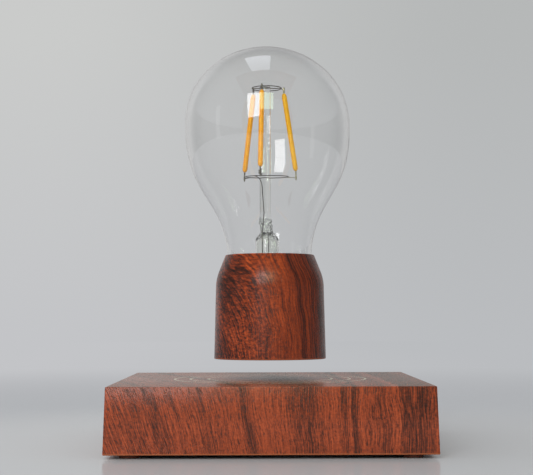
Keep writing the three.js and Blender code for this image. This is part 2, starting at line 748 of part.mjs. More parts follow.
// Stem, wires and light strips, in a frame that stands on the collar
function makeMount() {
  const group = new THREE.Group();
  const leadBottom = receiverBoardFace - neckSeat;
  addMesh(group, 'glass_stem', glassStem(), glassFinish());
  addMesh(group, 'lead_in_lower', leadIn(1, leadBottom, lowerBus), wireFinish());
  addMesh(group, 'lead_in_upper', leadIn(-1, leadBottom, upperBus), wireFinish());
  addMesh(group, 'lower_bus_wire', join(...busWire(lowerBus, cage.lowerRadius)), wireFinish());
  addMesh(group, 'upper_bus_wire', upperBusWire(), wireFinish());
  addLightStrips(group);
  group.position.set(stem.lean, 0, neckSeat);
  return group;
}

// Hovering half, from the cap's mouth up
function makeFloat() {
  const group = new THREE.Group();
  addCap(group);
  addMesh(group, 'glass_envelope', glassEnvelope(), glassFinish(), 0, 0, neckSeat);
  group.add(makeMount());
  group.position.z = capBottom;
  return group;
}

const lamp = new THREE.Group();
lamp.add(makeBase(), makeFloat());

export default lamp;
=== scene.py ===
# Levitating lamp: a wood-grain base on small feet, and a clear bulb in a wood-grain cap that hovers above it
import logging
import math
from dataclasses import dataclass
from enum import Enum
from functools import cached_property
from typing import Callable, Optional, Sequence, Union

import bmesh
import bpy
from mathutils import Matrix, Vector, noise


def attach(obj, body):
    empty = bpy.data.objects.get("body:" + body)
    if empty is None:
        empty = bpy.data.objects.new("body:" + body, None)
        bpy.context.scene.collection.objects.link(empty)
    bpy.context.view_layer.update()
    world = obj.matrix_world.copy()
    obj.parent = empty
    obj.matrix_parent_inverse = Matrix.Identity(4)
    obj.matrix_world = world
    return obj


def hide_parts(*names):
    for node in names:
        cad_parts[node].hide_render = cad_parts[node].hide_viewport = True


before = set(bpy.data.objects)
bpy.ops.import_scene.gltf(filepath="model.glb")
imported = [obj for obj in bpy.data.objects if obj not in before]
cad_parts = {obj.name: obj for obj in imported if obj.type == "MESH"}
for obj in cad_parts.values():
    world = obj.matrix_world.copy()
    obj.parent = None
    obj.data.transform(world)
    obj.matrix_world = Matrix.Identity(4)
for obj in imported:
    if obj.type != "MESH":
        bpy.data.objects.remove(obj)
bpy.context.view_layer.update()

log = logging.getLogger("lamp")

MM = 0.001
IMAGE_WIDTH = 533
# A unit direction counts as upright from this height
UPRIGHT_FROM = 0.9

# Settings of a Map Range that eases in and out, and of a Mix of colours with its sockets
SMOOTH = {"interpolation_type": "SMOOTHSTEP"}
OF_COLOURS = {"data_type": "RGBA"}
MIX_SHARE, MIX_FIRST, MIX_SECOND = 0, 6, 7

# The map on the base's housing that its print follows
GRAIN_MAP = "grain"

Point = tuple[float, float]
Colour = tuple[float, float, float, float]
# What a link can start from: a socket, or a node for its first output in use
Source = Union[bpy.types.NodeSocket, bpy.types.Node]
SocketValue = Union[float, Sequence[float], Source]
# Fills an empty bmesh, in millimetres
Builder = Callable[[bmesh.types.BMesh], None]


def clamped(value: float) -> float:
    """The value held between 0 and 1."""
    return max(0.0, min(1.0, value))


def to_linear(code: str) -> Colour:
    """Turns an sRGB hex colour into linear light.

    Args:
        code: The colour as "#rrggbb".

    Returns:
        Red, green, blue and an alpha of 1.
    """
    parts = [int(code[i:i + 2], 16) / 255 for i in (1, 3, 5)]
    linear = [c / 12.92 if c <= 0.04045 else ((c + 0.055) / 1.055) ** 2.4 for c in parts]
    return (linear[0], linear[1], linear[2], 1.0)


def grey(value: float) -> Colour:
    """A grey of that linear value."""
    return (value, value, value, 1.0)


def per_metre(size_mm: float) -> float:
    """Scale of a noise texture whose blotches are about size_mm wide."""
    return 1 / (size_mm * MM)


def waves_per_metre(pitch_mm: float) -> float:
    """Scale of a wave texture that repeats every pitch_mm."""
    return 2 * math.pi / (20 * pitch_mm * MM)


def set_socket(tree: bpy.types.NodeTree, socket: bpy.types.NodeSocket, value: SocketValue) -> None:
    """Sets a socket, or links it.

    Args:
        tree: The node tree.
        socket: The input.
        value: A plain value, or what the link starts from.
    """
    if isinstance(value, bpy.types.Node):
        value = next(output for output in value.outputs if output.enabled)
    if isinstance(value, bpy.types.NodeSocket):
        tree.links.new(value, socket)
    else:
        socket.default_value = value


def add_node(
    tree: bpy.types.NodeTree,
    kind: str,
    settings: Union[dict[str, object], str, None] = None,
    inputs: Optional[dict[Union[str, int], SocketValue]] = None,
) -> bpy.types.Node:
    """Adds a node with its settings and links.

    Args:
        tree: The material's or the world's node tree.
        kind: The node's type name.
        settings: Properties of the node itself, or just its operation.
        inputs: Values for its sockets; a socket or a node as a value becomes a link.

    Returns:
        The new node.
    """
    node = tree.nodes.new(kind)
    if isinstance(settings, str):
        settings = {"operation": settings}
    for name, value in (settings or {}).items():
        setattr(node, name, value)
    for name, value in (inputs or {}).items():
        set_socket(tree, node.inputs[name], value)
    return node


def add_ramp(
    tree: bpy.types.NodeTree,
    source: Source,
    stops: Sequence[tuple[float, Colour]],
    interpolation: str = "LINEAR",
) -> bpy.types.Node:
    """Adds a colour ramp with its stops.

    Args:
        tree: The node tree.
        source: What drives the ramp.
        stops: Position and colour of each stop, from 0 to 1.
        interpolation: How it runs between stops.

    Returns:
        The ramp.
    """
    node = add_node(tree, "ShaderNodeValToRGB", inputs={"Fac": source})
    ramp = node.color_ramp
    ramp.interpolation = interpolation
    while len(ramp.elements) < len(stops):
        ramp.elements.new(1.0)
    for element, (position, colour) in zip(ramp.elements, stops):
        element.position = position
        element.color = colour
    return node


def bearing(tree: bpy.types.NodeTree, direction: Source) -> bpy.types.Node:
    """Adds the bearing of a direction.

    Args:
        tree: The node tree.
        direction: The direction, from the upright axis.

    Returns:
        The node with a value from 0 to 1: from the back round by the left, the front and the right.
    """
    parts = add_node(tree, "ShaderNodeSeparateXYZ", inputs={"Vector": direction})
    forward = add_node(tree, "ShaderNodeMath", "MULTIPLY", {0: parts.outputs["Y"], 1: -1.0})
    angle = add_node(tree, "ShaderNodeMath", "ARCTAN2", {0: parts.outputs["X"], 1: forward})
    return add_node(tree, "ShaderNodeMapRange", inputs={
        "Value": angle, "From Min": -math.pi, "From Max": math.pi})


class Shading:
    """A new material with its node tree, its Principled shader and its object coordinates."""

    def __init__(self, name: str) -> None:
        """Makes the material; name says what the real one is and how its surface was made."""
        self.material = bpy.data.materials.new(name)
        self.material.use_nodes = True
        self.tree = self.material.node_tree
        self.shader = self.tree.nodes["Principled BSDF"]
        self.place = add_node(self.tree, "ShaderNodeTexCoord").outputs["Object"]

    @cached_property
    def parts(self) -> bpy.types.Node:
        """The object coordinates apart, as X, Y and Z."""
        return add_node(self.tree, "ShaderNodeSeparateXYZ", inputs={"Vector": self.place})

    def set(self, **values: SocketValue) -> None:
        """Sets or links the shader's sockets, each named with _ for a space."""
        for name, value in values.items():
            set_socket(self.tree, self.shader.inputs[name.replace("_", " ")], value)

    def surface(self, shader: Source) -> None:
        """Gives the surface another shader than the Principled one."""
        set_socket(self.tree, self.tree.nodes["Material Output"].inputs["Surface"], shader)

    def bump(self, height: Source, depth_mm: float) -> None:
        """Gives the surface relief.

        Args:
            height: What drives it, from 0 to 1.
            depth_mm: How deep 1 is.
        """
        self.set(Normal=add_node(self.tree, "ShaderNodeBump", inputs={
            "Height": height, "Distance": depth_mm * MM, "Strength": 1.0}))


class Pattern(Enum):
    """How a finish varies over its surface."""

    MOTTLED = "mottled"
    UPRIGHT_TURNS = "turns of wire, one above the other"
    FLAT_TURNS = "turns of wire in a flat spiral"
    TRACKS = "tracks of a circuit board"


@dataclass(frozen=True)
class SurfaceFinish:
    """Finish of a piece in one plain material."""

    name: str
    slot: str
    colour: str
    second: str
    grain_mm: float
    roughness: float
    roughness_spread: float = 0.06
    metallic: float = 0.0
    relief_mm: float = 0.01
    pattern: Pattern = Pattern.MOTTLED

    def build(self) -> bpy.types.Material:
        """Makes the material.

        Returns:
            The finished material.
        """
        shading = Shading(self.name)
        tree = shading.tree
        share = self.share(shading)
        stops = [(0.25, to_linear(self.second)), (0.75, to_linear(self.colour))]
        dull = add_node(tree, "ShaderNodeMapRange", inputs={
            "Value": share, "To Min": self.roughness + self.roughness_spread,
            "To Max": self.roughness - self.roughness_spread})
        shading.set(Base_Color=add_ramp(tree, share, stops), Roughness=dull, Metallic=self.metallic, IOR=1.5)
        shading.bump(share, self.relief_mm)
        return shading.material

    def share(self, shading: Shading) -> Source:
        """Adds the pattern.

        Args:
            shading: The material being made.

        Returns:
            A value from 0 to 1.
        """
        tree, place = shading.tree, shading.place
        if self.pattern in (Pattern.UPRIGHT_TURNS, Pattern.FLAT_TURNS):
            upright = self.pattern is Pattern.UPRIGHT_TURNS
            settings = {"wave_type": "BANDS", "bands_direction": "Z"} if upright else {
                "wave_type": "RINGS", "rings_direction": "Z"}
            return add_node(tree, "ShaderNodeTexWave", settings, {
                "Vector": place, "Scale": waves_per_metre(self.grain_mm), "Distortion": 0.4, "Detail": 1.0,
                "Detail Scale": 0.2}).outputs["Fac"]
        if self.pattern is Pattern.TRACKS:
            # The tracks are drawn in units of 10 mm, in fields less than half as high as they are long
            unit_mm, slimness = 10.0, 2.2
            settings = {"offset": 0.37, "offset_frequency": 3, "squash": 0.6, "squash_frequency": 2}
            return add_node(tree, "ShaderNodeTexBrick", settings, {
                "Vector": place, "Scale": per_metre(unit_mm), "Mortar Size": 0.035, "Mortar Smooth": 0.1,
                "Brick Width": self.grain_mm / unit_mm, "Row Height": self.grain_mm / (slimness * unit_mm),
                "Color1": grey(0.72), "Color2": grey(0.86), "Mortar": grey(0.1)})
        return add_node(tree, "ShaderNodeTexNoise", inputs={
            "Vector": place, "Scale": per_metre(self.grain_mm), "Detail": 4.0, "Roughness": 0.6})


# Moulded ABS: black, satin, with the fine spark-eroded grain of an injection mould
DARK_PLASTIC = SurfaceFinish(
    "abs_black_moulded", "dark_plastic", "#262525", "#191818", 0.45, 0.52, 0.08, relief_mm=0.02)
# Moulded nylon: off-white, slightly waxy, cloudy where it flowed into the mould
PALE_PLASTIC = SurfaceFinish("nylon_white_moulded", "pale_plastic", "#dfdbcf", "#cfc9b9", 2.2, 0.45, 0.06)
# Silicone rubber: dull red-brown pads that hide dust in a fine matt skin
FOOT_RUBBER = SurfaceFinish(
    "rubber_brown_moulded", "foot_rubber", "#74402f", "#5c2f22", 0.4, 0.72, relief_mm=0.02)
# Zinc-plated steel: pale bluish grey with a soft brushed shine
SCREW_STEEL = SurfaceFinish(
    "steel_zinc_plated", "screw_steel", "#c3c7cb", "#9da2a8", 0.35, 0.32, 0.08, metallic=1.0)
# Brass: turned and left bare, warm yellow with fine tool marks
PIN_BRASS = SurfaceFinish("brass_turned", "pin_brass", "#d2ac58", "#b78d3c", 0.3, 0.24, 0.06, metallic=1.0)
# Epoxy-glass board under green solder resist: glossy film, copper tracks showing paler through it
CIRCUIT_BOARD = SurfaceFinish(
    "epoxy_board_solder_resist", "circuit_board", "#1d6b42", "#46996a", 9.0, 0.3, 0.04,
    pattern=Pattern.TRACKS)
# Aluminium can in a dark shrunk-on PVC sleeve: smooth, faintly rippled
CAPACITOR_CAN = SurfaceFinish("pvc_sleeve_shrunk", "capacitor_can", "#3c4048", "#2d3037", 1.6, 0.28, 0.05)
# Sintered ferrite: charcoal ceramic with a granular, slightly sparkling face
FERRITE = SurfaceFinish(
    "ferrite_sintered", "ferrite", "#464448", "#2e2c30", 0.5, 0.6, 0.12, relief_mm=0.02)
# Neodymium magnets in bright nickel: mirror-like with a faint orange-peel
MAGNET_PLATING = SurfaceFinish(
    "nickel_bright_plated", "magnet_plating", "#c9c6bf", "#b4b0a8", 3.0, 0.16, 0.05, metallic=1.0)
# Enamelled copper wire, wound in layers: the thin line of light on each turn and the shade between turns are
# painted in its two colours, together with a bump.
# The turns are drawn 0.8 mm apart, wider than the real 0.3 mm wire, so that they show
COIL_WINDING = SurfaceFinish(
    "copper_wire_wound", "copper_winding", "#c8743a", "#7d3d1c", 0.8, 0.3, 0.05, metallic=1.0,
    relief_mm=0.12, pattern=Pattern.UPRIGHT_TURNS)
# The same enamelled wire laid in a flat spiral, 1.1 mm from turn to turn, with the same painted highlight and
# shade on its turns
SPIRAL_WINDING = SurfaceFinish(
    "copper_wire_spiral", "copper_winding", "#c8743a", "#71361a", 1.1, 0.3, 0.05, metallic=1.0,
    relief_mm=0.14, pattern=Pattern.FLAT_TURNS)
# Rolled copper sheet: warm, softly streaked
COPPER_SHEET = SurfaceFinish(
    "copper_rolled", "copper_winding", "#c67b47", "#a55f31", 1.5, 0.3, 0.07, metallic=1.0)
# Soft iron, machined: mid grey with a dull grain
COIL_IRON = SurfaceFinish("iron_machined", "coil_iron", "#85868a", "#63656a", 0.5, 0.42, 0.1, metallic=1.0)
# Drawn nickel-iron wire, darkened by the flame that sealed the glass: grey with brown patches
SUPPORT_WIRE = SurfaceFinish(
    "nickel_iron_drawn", "support_wire", "#77706a", "#453f3a", 1.2, 0.36, 0.08, metallic=1.0)
# Pressed nickel-iron crimps, oxidised almost black by welding
STRIP_CRIMP = SurfaceFinish(
    "nickel_iron_welded", "support_wire", "#8f897d", "#57524a", 0.6, 0.5, 0.1, metallic=0.8)
# Pale, bright metal for the right strip's tabs and tongues, lighter than the other strips' crimps
STRIP_TAB = SurfaceFinish("metal_pale_bright", "support_wire", "#d9d3b4", "#b9b08c", 0.6, 0.3, 0.06, metallic=1.0)


class Figure(Enum):
    """How the printed grain runs over a piece."""

    PLANK = "straight planks, leaning a little at one end"
    SWIRL = "swept across at one side of a round piece, upright at the other"


@dataclass(frozen=True)
class GrainPlace:
    """Where a point lies in the print: along Z the grain, its place across, and how coarse it is there."""

    across: Source
    streaks: Source
    coarse: Union[Source, float]


@dataclass(frozen=True)
class WoodFilm:
    """Rosewood-pattern film, printed and floated onto moulded ABS, under a satin lacquer."""

    name: str
    slot: str
    figure: Figure
    # Dark streaks as (place, darkness): the place runs from 0 to 1 across the print
    streak_shares: tuple[tuple[float, float], ...]
    light: str = "#be5832"
    body: str = "#a14728"
    deep: str = "#783722"
    dark: str = "#4c261c"
    pore: str = "#38190f"
    # Colour of the painted highlight round the lower edge
    edge_highlight: str = "#b0633c"
    # Mean darkness, and how far each layer swings it
    depth: float = 0.26
    band_weight: float = 0.3
    thread_weight: float = 1.15
    fleck_weight: float = 0.85
    streak_weight: float = 0.5
    # Broad bands 7 mm wide, threads half a millimetre, flecks a little over one, pores a third
    band_mm: float = 7.0
    band_length_mm: float = 110.0
    thread_mm: float = 0.55
    thread_length_mm: float = 12.0
    fleck_mm: float = 1.2
    fleck_length_share: float = 0.8
    pore_mm: float = 0.36
    pore_length_mm: float = 3.2
    pore_depth_mm: float = 0.012
    # Noise value from where a pore opens, over how much it does, and how much a dark print helps it to
    pore_edge: float = 0.61
    pore_ease: float = 0.09
    pore_crowding: float = 0.16
    # How dark a pore is, and how much duller than the lacquer round it
    pore_amount: float = 0.7
    pore_dullness: float = 0.12
    roughness: float = 0.22
    gloss: float = 0.38
    # Height of a top with a finish of its own, the roughness that rubbing it down adds, and the strength and
    # colour of a painted sheen there: a grey veil that stands for what the top reflects at a flat angle
    top_mm: float = 0.0
    top_ease_mm: float = 0.1
    rubbed: float = 0.0
    painted_sheen: float = 3.4
    painted_sheen_colour: str = "#879685"
    # Lean of the grain at its leaning side and elsewhere, as millimetres across for each one up
    lean: tuple[float, float] = (0.33, 0.03)
    # Flat print: its width, its middle, where the lean fades out, and how far and how often it wanders
    print_width_mm: float = 128.0
    print_middle_mm: float = 2.5
    lean_ends_mm: tuple[float, float] = (-52.0, 36.0)
    wander_mm: float = 5.0
    wander_size_mm: float = 26.0
    # Wrapped print: its radius, the height it is turned from, and the stretch over the shoulder
    wrap_radius_mm: float = 22.8
    wrap_from_mm: float = 37.0
    shoulder_mm: tuple[float, float] = (62.0, 80.0)
    shoulder_turn: float = 0.13
    wrap_wander: float = 0.22
    wrap_wander_size_mm: float = 18.0
    # How fast the sweep of a swirl dies out from the left side, how strong the grain is on its quiet side,
    # and between which shares of the way to the left it grows
    sweep: float = 3.0
    calm: float = 0.42
    calm_shares: tuple[float, float] = (0.22, 0.68)
    # Painted highlight round the lower edge, a bright line that stands for the light the rounded edge
    # catches: its top, how it fades out there, and its strength
    edge_highlight_top_mm: float = 2.2
    edge_highlight_fade_mm: float = 0.3
    edge_highlight_strength: float = 0.75
    # Knots as (place in mm, reach in mm, darkness): a figure darker, or paler where it is below 0
    knots: tuple[tuple[tuple[float, float, float], float, float], ...] = ()
    ring_radii_mm: tuple[float, ...] = ()
    ring_width_mm: float = 0.9
    ring_colour: str = "#d8cbb2"

    def build(self) -> bpy.types.Material:
        """Makes the material.

        Returns:
            The finished material.
        """
        shading = Shading(self.name)
        tree = shading.tree
        place = self.plank_place(shading) if self.figure is Figure.PLANK else self.swirl_place(shading)
        colour, pores = self.print_colour(shading, place)
        # A painted highlight round the lower edge
        colour = self.with_edge_highlight(shading, colour)
        # Polyurethane lacquer over the print: satin, a little glossier between the pores
        dull = add_node(tree, "ShaderNodeMapRange", inputs={
            "Value": pores, "To Min": self.roughness, "To Max": self.roughness + self.pore_dullness})
        # On the top: a rougher lacquer, and a painted sheen over the print
        if self.rubbed:
            colour, dull = self.rub_top_and_paint_sheen(shading, colour, dull)
        if self.ring_radii_mm:
            colour = self.with_rings(shading, colour)
        shading.set(Base_Color=colour, Roughness=dull, IOR=1.5, Specular_IOR_Level=self.gloss)
        filled = add_node(tree, "ShaderNodeMath", "SUBTRACT", {0: 1.0, 1: pores})
        shading.bump(filled, self.pore_depth_mm)
        return shading.material

    def plank_place(self, shading: Shading) -> GrainPlace:
        """Adds the coordinates of a flat print that leans at its left end.

        Args:
            shading: The material being made.

        Returns:
            Where each point lies in the print.
        """
        tree = shading.tree
        flat = add_node(tree, "ShaderNodeUVMap", {"uv_map": GRAIN_MAP})
        parts = add_node(tree, "ShaderNodeSeparateXYZ", inputs={"Vector": flat})
        lean = add_node(tree, "ShaderNodeMapRange", SMOOTH, {
            "Value": parts.outputs["X"], "From Min": self.lean_ends_mm[0] * MM,
            "From Max": self.lean_ends_mm[1] * MM, "To Min": self.lean[0], "To Max": self.lean[1]})
        shifted = add_node(tree, "ShaderNodeMath", "MULTIPLY_ADD", {
            0: lean, 1: parts.outputs["Y"], 2: parts.outputs["X"]})
        wavy = add_node(tree, "ShaderNodeTexNoise", inputs={
            "Vector": flat, "Scale": per_metre(self.wander_size_mm), "Detail": 2.0})
        waved = add_node(tree, "ShaderNodeMath", "MULTIPLY_ADD", {
            0: wavy, 1: self.wander_mm * MM, 2: shifted})
        across = add_node(tree, "ShaderNodeCombineXYZ", inputs={"X": waved, "Z": parts.outputs["Y"]})
        middle, half = self.print_middle_mm * MM, self.print_width_mm * MM / 2
        streaks = add_node(tree, "ShaderNodeMapRange", inputs={
            "Value": waved, "From Min": middle - half, "From Max": middle + half})
        return GrainPlace(across, streaks, 1.0)

    def swirl_place(self, shading: Shading) -> GrainPlace:
        """Adds the coordinates of a print wrapped round an upright axis, swept across on its left side.

        The print is turned about the axis in step with the height, most on the left, so it closes on itself.

        Args:
            shading: The material being made.

        Returns:
            Where each point lies in the print.
        """
        tree, height = shading.tree, shading.parts.outputs["Z"]
        flat = add_node(tree, "ShaderNodeVectorMath", "MULTIPLY", {0: shading.place, 1: (1.0, 1.0, 0.0)})
        side = add_node(tree, "ShaderNodeVectorMath", "NORMALIZE", {0: flat})
        side_parts = add_node(tree, "ShaderNodeSeparateXYZ", inputs={"Vector": side})
        leftness = add_node(tree, "ShaderNodeMapRange", inputs={
            "Value": side_parts.outputs["X"], "From Min": 1.0, "From Max": -1.0})
        swept = add_node(tree, "ShaderNodeMath", "POWER", {0: leftness, 1: self.sweep})
        lean = add_node(tree, "ShaderNodeMapRange", inputs={
            "Value": swept, "To Min": self.lean[1], "To Max": self.lean[0]})
        # Turn in radians for each metre of height: a lean of 1 is one radius round for one radius up
        raised = add_node(tree, "ShaderNodeMath", "SUBTRACT", {0: height, 1: self.wrap_from_mm * MM})
        turn = add_node(tree, "ShaderNodeMath", "MULTIPLY", {0: lean, 1: raised})
        # The film stretched as it was drawn over the shoulder, which bends every line there
        bend = add_node(tree, "ShaderNodeMapRange", SMOOTH, {
            "Value": height, "From Min": self.shoulder_mm[0] * MM, "From Max": self.shoulder_mm[1] * MM,
            "To Max": self.shoulder_turn})
        angle = add_node(tree, "ShaderNodeMath", "MULTIPLY_ADD", {
            0: turn, 1: 1 / (self.wrap_radius_mm * MM), 2: bend})
        wavy = add_node(tree, "ShaderNodeTexNoise", inputs={
            "Vector": shading.place, "Scale": per_metre(self.wrap_wander_size_mm), "Detail": 2.0})
        waved = add_node(tree, "ShaderNodeMath", "MULTIPLY_ADD", {0: wavy, 1: self.wrap_wander, 2: angle})
        turned = add_node(tree, "ShaderNodeVectorRotate", {"rotation_type": "Z_AXIS"}, {
            "Vector": side, "Angle": waved})
        round_place = add_node(tree, "ShaderNodeVectorMath", "SCALE", {
            0: turned, "Scale": self.wrap_radius_mm * MM})
        round_parts = add_node(tree, "ShaderNodeSeparateXYZ", inputs={"Vector": round_place})
        across = add_node(tree, "ShaderNodeCombineXYZ", inputs={
            "X": round_parts.outputs["X"], "Y": round_parts.outputs["Y"], "Z": height})
        streaks = bearing(tree, turned)
        coarse = add_node(tree, "ShaderNodeMapRange", inputs={
            "Value": leftness, "From Min": self.calm_shares[0], "From Max": self.calm_shares[1],
            "To Min": self.calm})
        return GrainPlace(across, streaks, coarse)

    def print_colour(self, shading: Shading, place: GrainPlace) -> tuple[Source, Source]:
        """Adds the printed grain: bands, dark streaks, fine threads, flecks and pores.

        Args:
            shading: The material being made.
            place: Where each point lies in the print.

        Returns:
            The colour, and how much of a pore each point is.
        """
        tree = shading.tree

        def stretched(width_mm: float, length_mm: float, detail: float, rough: float) -> Source:
            """Noise that is width_mm wide across the grain and length_mm long along it."""
            scale = (per_metre(width_mm), per_metre(width_mm), per_metre(length_mm))
            sized = add_node(tree, "ShaderNodeVectorMath", "MULTIPLY", {0: place.across, 1: scale})
            return add_node(tree, "ShaderNodeTexNoise", inputs={
                "Vector": sized, "Scale": 1.0, "Detail": detail, "Roughness": rough})

        bands = stretched(self.band_mm, self.band_length_mm, 3.0, 0.55)
        threads = stretched(self.thread_mm, self.thread_length_mm, 2.0, 0.6)
        flecks = stretched(self.fleck_mm, self.fleck_mm * self.fleck_length_share, 3.0, 0.65)
        pores = stretched(self.pore_mm, self.pore_length_mm, 1.0, 0.5)
        streaks = add_ramp(
            tree, place.streaks, [(share, grey(value)) for share, value in self.streak_shares], "EASE")
        # Streaks are bundles of dark threads, not solid lines
        bundled = add_node(tree, "ShaderNodeMapRange", inputs={
            "Value": threads, "From Min": 0.35, "From Max": 0.65, "To Min": 0.55, "To Max": 1.1})
        broken = add_node(tree, "ShaderNodeMath", "MULTIPLY", {0: streaks, 1: bundled})
        # Each noise swings about 0.5, so half of its weight is taken off again; flecks fade where it is calm
        centred = add_node(tree, "ShaderNodeMath", "SUBTRACT", {0: flecks, 1: 0.5})
        fading = add_node(tree, "ShaderNodeMath", "POWER", {0: place.coarse, 1: 2.0})
        layer = add_node(tree, "ShaderNodeMath", "MULTIPLY", {0: centred, 1: fading})
        printed = self.depth - (self.band_weight + self.thread_weight) / 2
        for swing, weight in ((layer, self.fleck_weight), (bands, self.band_weight),
                              (threads, self.thread_weight), (broken, self.streak_weight)):
            printed = add_node(tree, "ShaderNodeMath", "MULTIPLY_ADD", {0: swing, 1: weight, 2: printed})
        for where, reach, change in self.knots:
            off = add_node(tree, "ShaderNodeVectorMath", "DISTANCE", {
                0: shading.place, 1: Vector(where) * MM})
            near = add_node(tree, "ShaderNodeMapRange", SMOOTH, {
                "Value": off, "From Min": reach * MM, "From Max": 0.0, "To Max": change})
            printed = add_node(tree, "ShaderNodeMath", "ADD", {0: printed, 1: near})
        colour = add_ramp(tree, printed, [
            (share, to_linear(code)) for share, code in
            ((0.0, self.light), (0.3, self.body), (0.58, self.deep), (0.9, self.dark))])
        # Pores crowd where the print is dark
        crowded = add_node(tree, "ShaderNodeMath", "MULTIPLY_ADD", {
            0: printed, 1: self.pore_crowding, 2: pores})
        open_pores = add_node(tree, "ShaderNodeMapRange", SMOOTH, {
            "Value": crowded, "From Min": self.pore_edge, "From Max": self.pore_edge + self.pore_ease})
        amount = add_node(tree, "ShaderNodeMath", "MULTIPLY", {0: place.coarse, 1: self.pore_amount})
        inked = add_node(tree, "ShaderNodeMath", "MULTIPLY", {0: open_pores, 1: amount})
        return self.over(tree, inked, colour, self.pore), open_pores

    def over(self, tree: bpy.types.NodeTree, share: Source, colour: Source, code: str) -> bpy.types.Node:
        """Lays an even colour over another.

        Args:
            tree: The node tree.
            share: How much it covers, from 0 to 1.
            colour: What lies below.
            code: The colour on top, as sRGB hex.

        Returns:
            The node with both.
        """
        return add_node(tree, "ShaderNodeMix", OF_COLOURS, {
            MIX_SHARE: share, MIX_FIRST: colour, MIX_SECOND: to_linear(code)})

    def with_edge_highlight(self, shading: Shading, colour: Source) -> Source:
        """Adds a painted highlight: a bright line round the lower edge, where the rounded edge would catch
        light.

        Args:
            shading: The material being made.
            colour: The printed colour.

        Returns:
            The colour with the painted highlight.
        """
        edge_highlight = add_node(shading.tree, "ShaderNodeMapRange", inputs={
            "Value": shading.parts.outputs["Z"], "From Min": self.edge_highlight_top_mm * MM,
            "From Max": (self.edge_highlight_top_mm - self.edge_highlight_fade_mm) * MM, "To Max": self.edge_highlight_strength})
        return self.over(shading.tree, edge_highlight, colour, self.edge_highlight)

    def rub_top_and_paint_sheen(self, shading: Shading, colour: Source, dull: Source) -> tuple[Source, Source]:
        """Rubs the top down once more, so that what it mirrors is blurred, and paints a grey sheen over the
        print that stands for its reflection.

        Args:
            shading: The material being made.
            colour: The printed colour.
            dull: The roughness of the lacquer.

        Returns:
            The colour with the painted sheen, and the roughness with the rubbed top.
        """
        tree = shading.tree
        rubbed = add_node(tree, "ShaderNodeMapRange", inputs={
            "Value": shading.parts.outputs["Z"], "From Min": (self.top_mm - self.top_ease_mm) * MM,
            "From Max": self.top_mm * MM, "To Max": self.rubbed})
        rougher = add_node(tree, "ShaderNodeMath", "ADD", {0: dull, 1: rubbed})
        # A painted grey sheen that stands for the top's reflection
        painted_sheen = add_node(tree, "ShaderNodeMath", "MULTIPLY", {0: rubbed, 1: self.painted_sheen})
        return self.over(tree, painted_sheen, colour, self.painted_sheen_colour), rougher

    def with_rings(self, shading: Shading, colour: Source) -> Source:
        """Adds thin pale rings, screen-printed on the top.

        Args:
            shading: The material being made.
            colour: The printed colour.

        Returns:
            The colour with the rings.
        """
        tree = shading.tree
        flat = add_node(tree, "ShaderNodeVectorMath", "MULTIPLY", {0: shading.place, 1: (1.0, 1.0, 0.0)})
        reach = add_node(tree, "ShaderNodeVectorMath", "LENGTH", {0: flat})
        on_top = add_node(tree, "ShaderNodeMath", "GREATER_THAN", {
            0: shading.parts.outputs["Z"], 1: (self.top_mm - self.top_ease_mm) * MM})
        for radius in self.ring_radii_mm:
            inked = add_node(tree, "ShaderNodeMath", "COMPARE", {
                0: reach, 1: radius * MM, 2: self.ring_width_mm * MM / 2})
            share = add_node(tree, "ShaderNodeMath", "MULTIPLY", {0: inked, 1: on_top})
            colour = self.over(tree, share, colour, self.ring_colour)
        return colour


# Base: planks upright on the walls and running back over the top, with a painted highlight round the lower
# edge and a painted grey sheen on the top
BASE_FILM = WoodFilm(
    "rosewood_film_on_abs_base", "base_skin", Figure.PLANK,
    streak_shares=(
        (0.0, 0.3), (0.08, 0.45), (0.105, 0.35), (0.13, 0.85), (0.15, 0.45), (0.18, 0.2), (0.195, 0.55),
        (0.21, 0.2), (0.25, 0.3), (0.283, 0.5), (0.31, 0.3), (0.36, 0.2), (0.39, 0.3), (0.411, 1.05),
        (0.43, 0.45), (0.455, 0.0), (0.53, 0.2), (0.58, 0.65), (0.608, 0.95), (0.63, 0.5), (0.685, 0.05),
        (0.7, 0.3), (0.715, 0.8), (0.73, 0.2), (0.744, 1.2), (0.765, 0.05), (0.8, 0.35), (0.83, 0.7),
        (0.866, 0.0), (0.885, 1.0), (0.92, 0.85), (1.0, 0.4)),
    # The top is rubbed rougher and carries a painted grey sheen
    top_mm=26.8, rubbed=0.05, ring_radii_mm=(26.0, 33.5, 40.0))

# Cap: the same film wrapped round it, coarse and dark-flecked on the left; its streaks from 0.668 to 0.8 are
# partly a real streak of the grain and partly painted shade on the right side
CAP_FILM = WoodFilm(
    "rosewood_film_on_abs_cap", "cap_skin", Figure.SWIRL,
    streak_shares=(
        (0.0, 0.3), (0.08, 0.7), (0.14, 0.2), (0.2, 0.5), (0.27, 0.9), (0.32, 0.5), (0.37, 0.7), (0.41, 0.35),
        (0.45, 0.45), (0.48, 0.15), (0.51, 0.25), (0.54, 0.0), (0.6, 0.05), (0.612, 0.25), (0.623, 1.0),
        (0.634, 0.35), (0.646, 0.4), (0.668, 0.8), (0.71, 1.1), (0.8, 0.8), (0.86, 0.1), (0.93, 0.45),
        (1.0, 0.3)),
    # The bright edge colour on the cap's mouth, up to 35.9 mm, is a painted highlight
    light="#b84e22", body="#913a17", deep="#6b2a16", dark="#3a1a11", pore="#24100b", edge_highlight="#a04f2c",
    depth=0.34, thread_weight=1.1, fleck_weight=2.0, band_mm=5.0, thread_length_mm=16.0, fleck_mm=1.1,
    roughness=0.27, gloss=0.42, lean=(0.62, 0.06), edge_highlight_top_mm=35.9,
    knots=(((-18.0, -14.0, 66.0), 15.0, 0.34), ((-13.0, -18.5, 43.0), 9.0, -0.2),
           ((-21.0, -9.0, 76.0), 9.0, 0.25)))


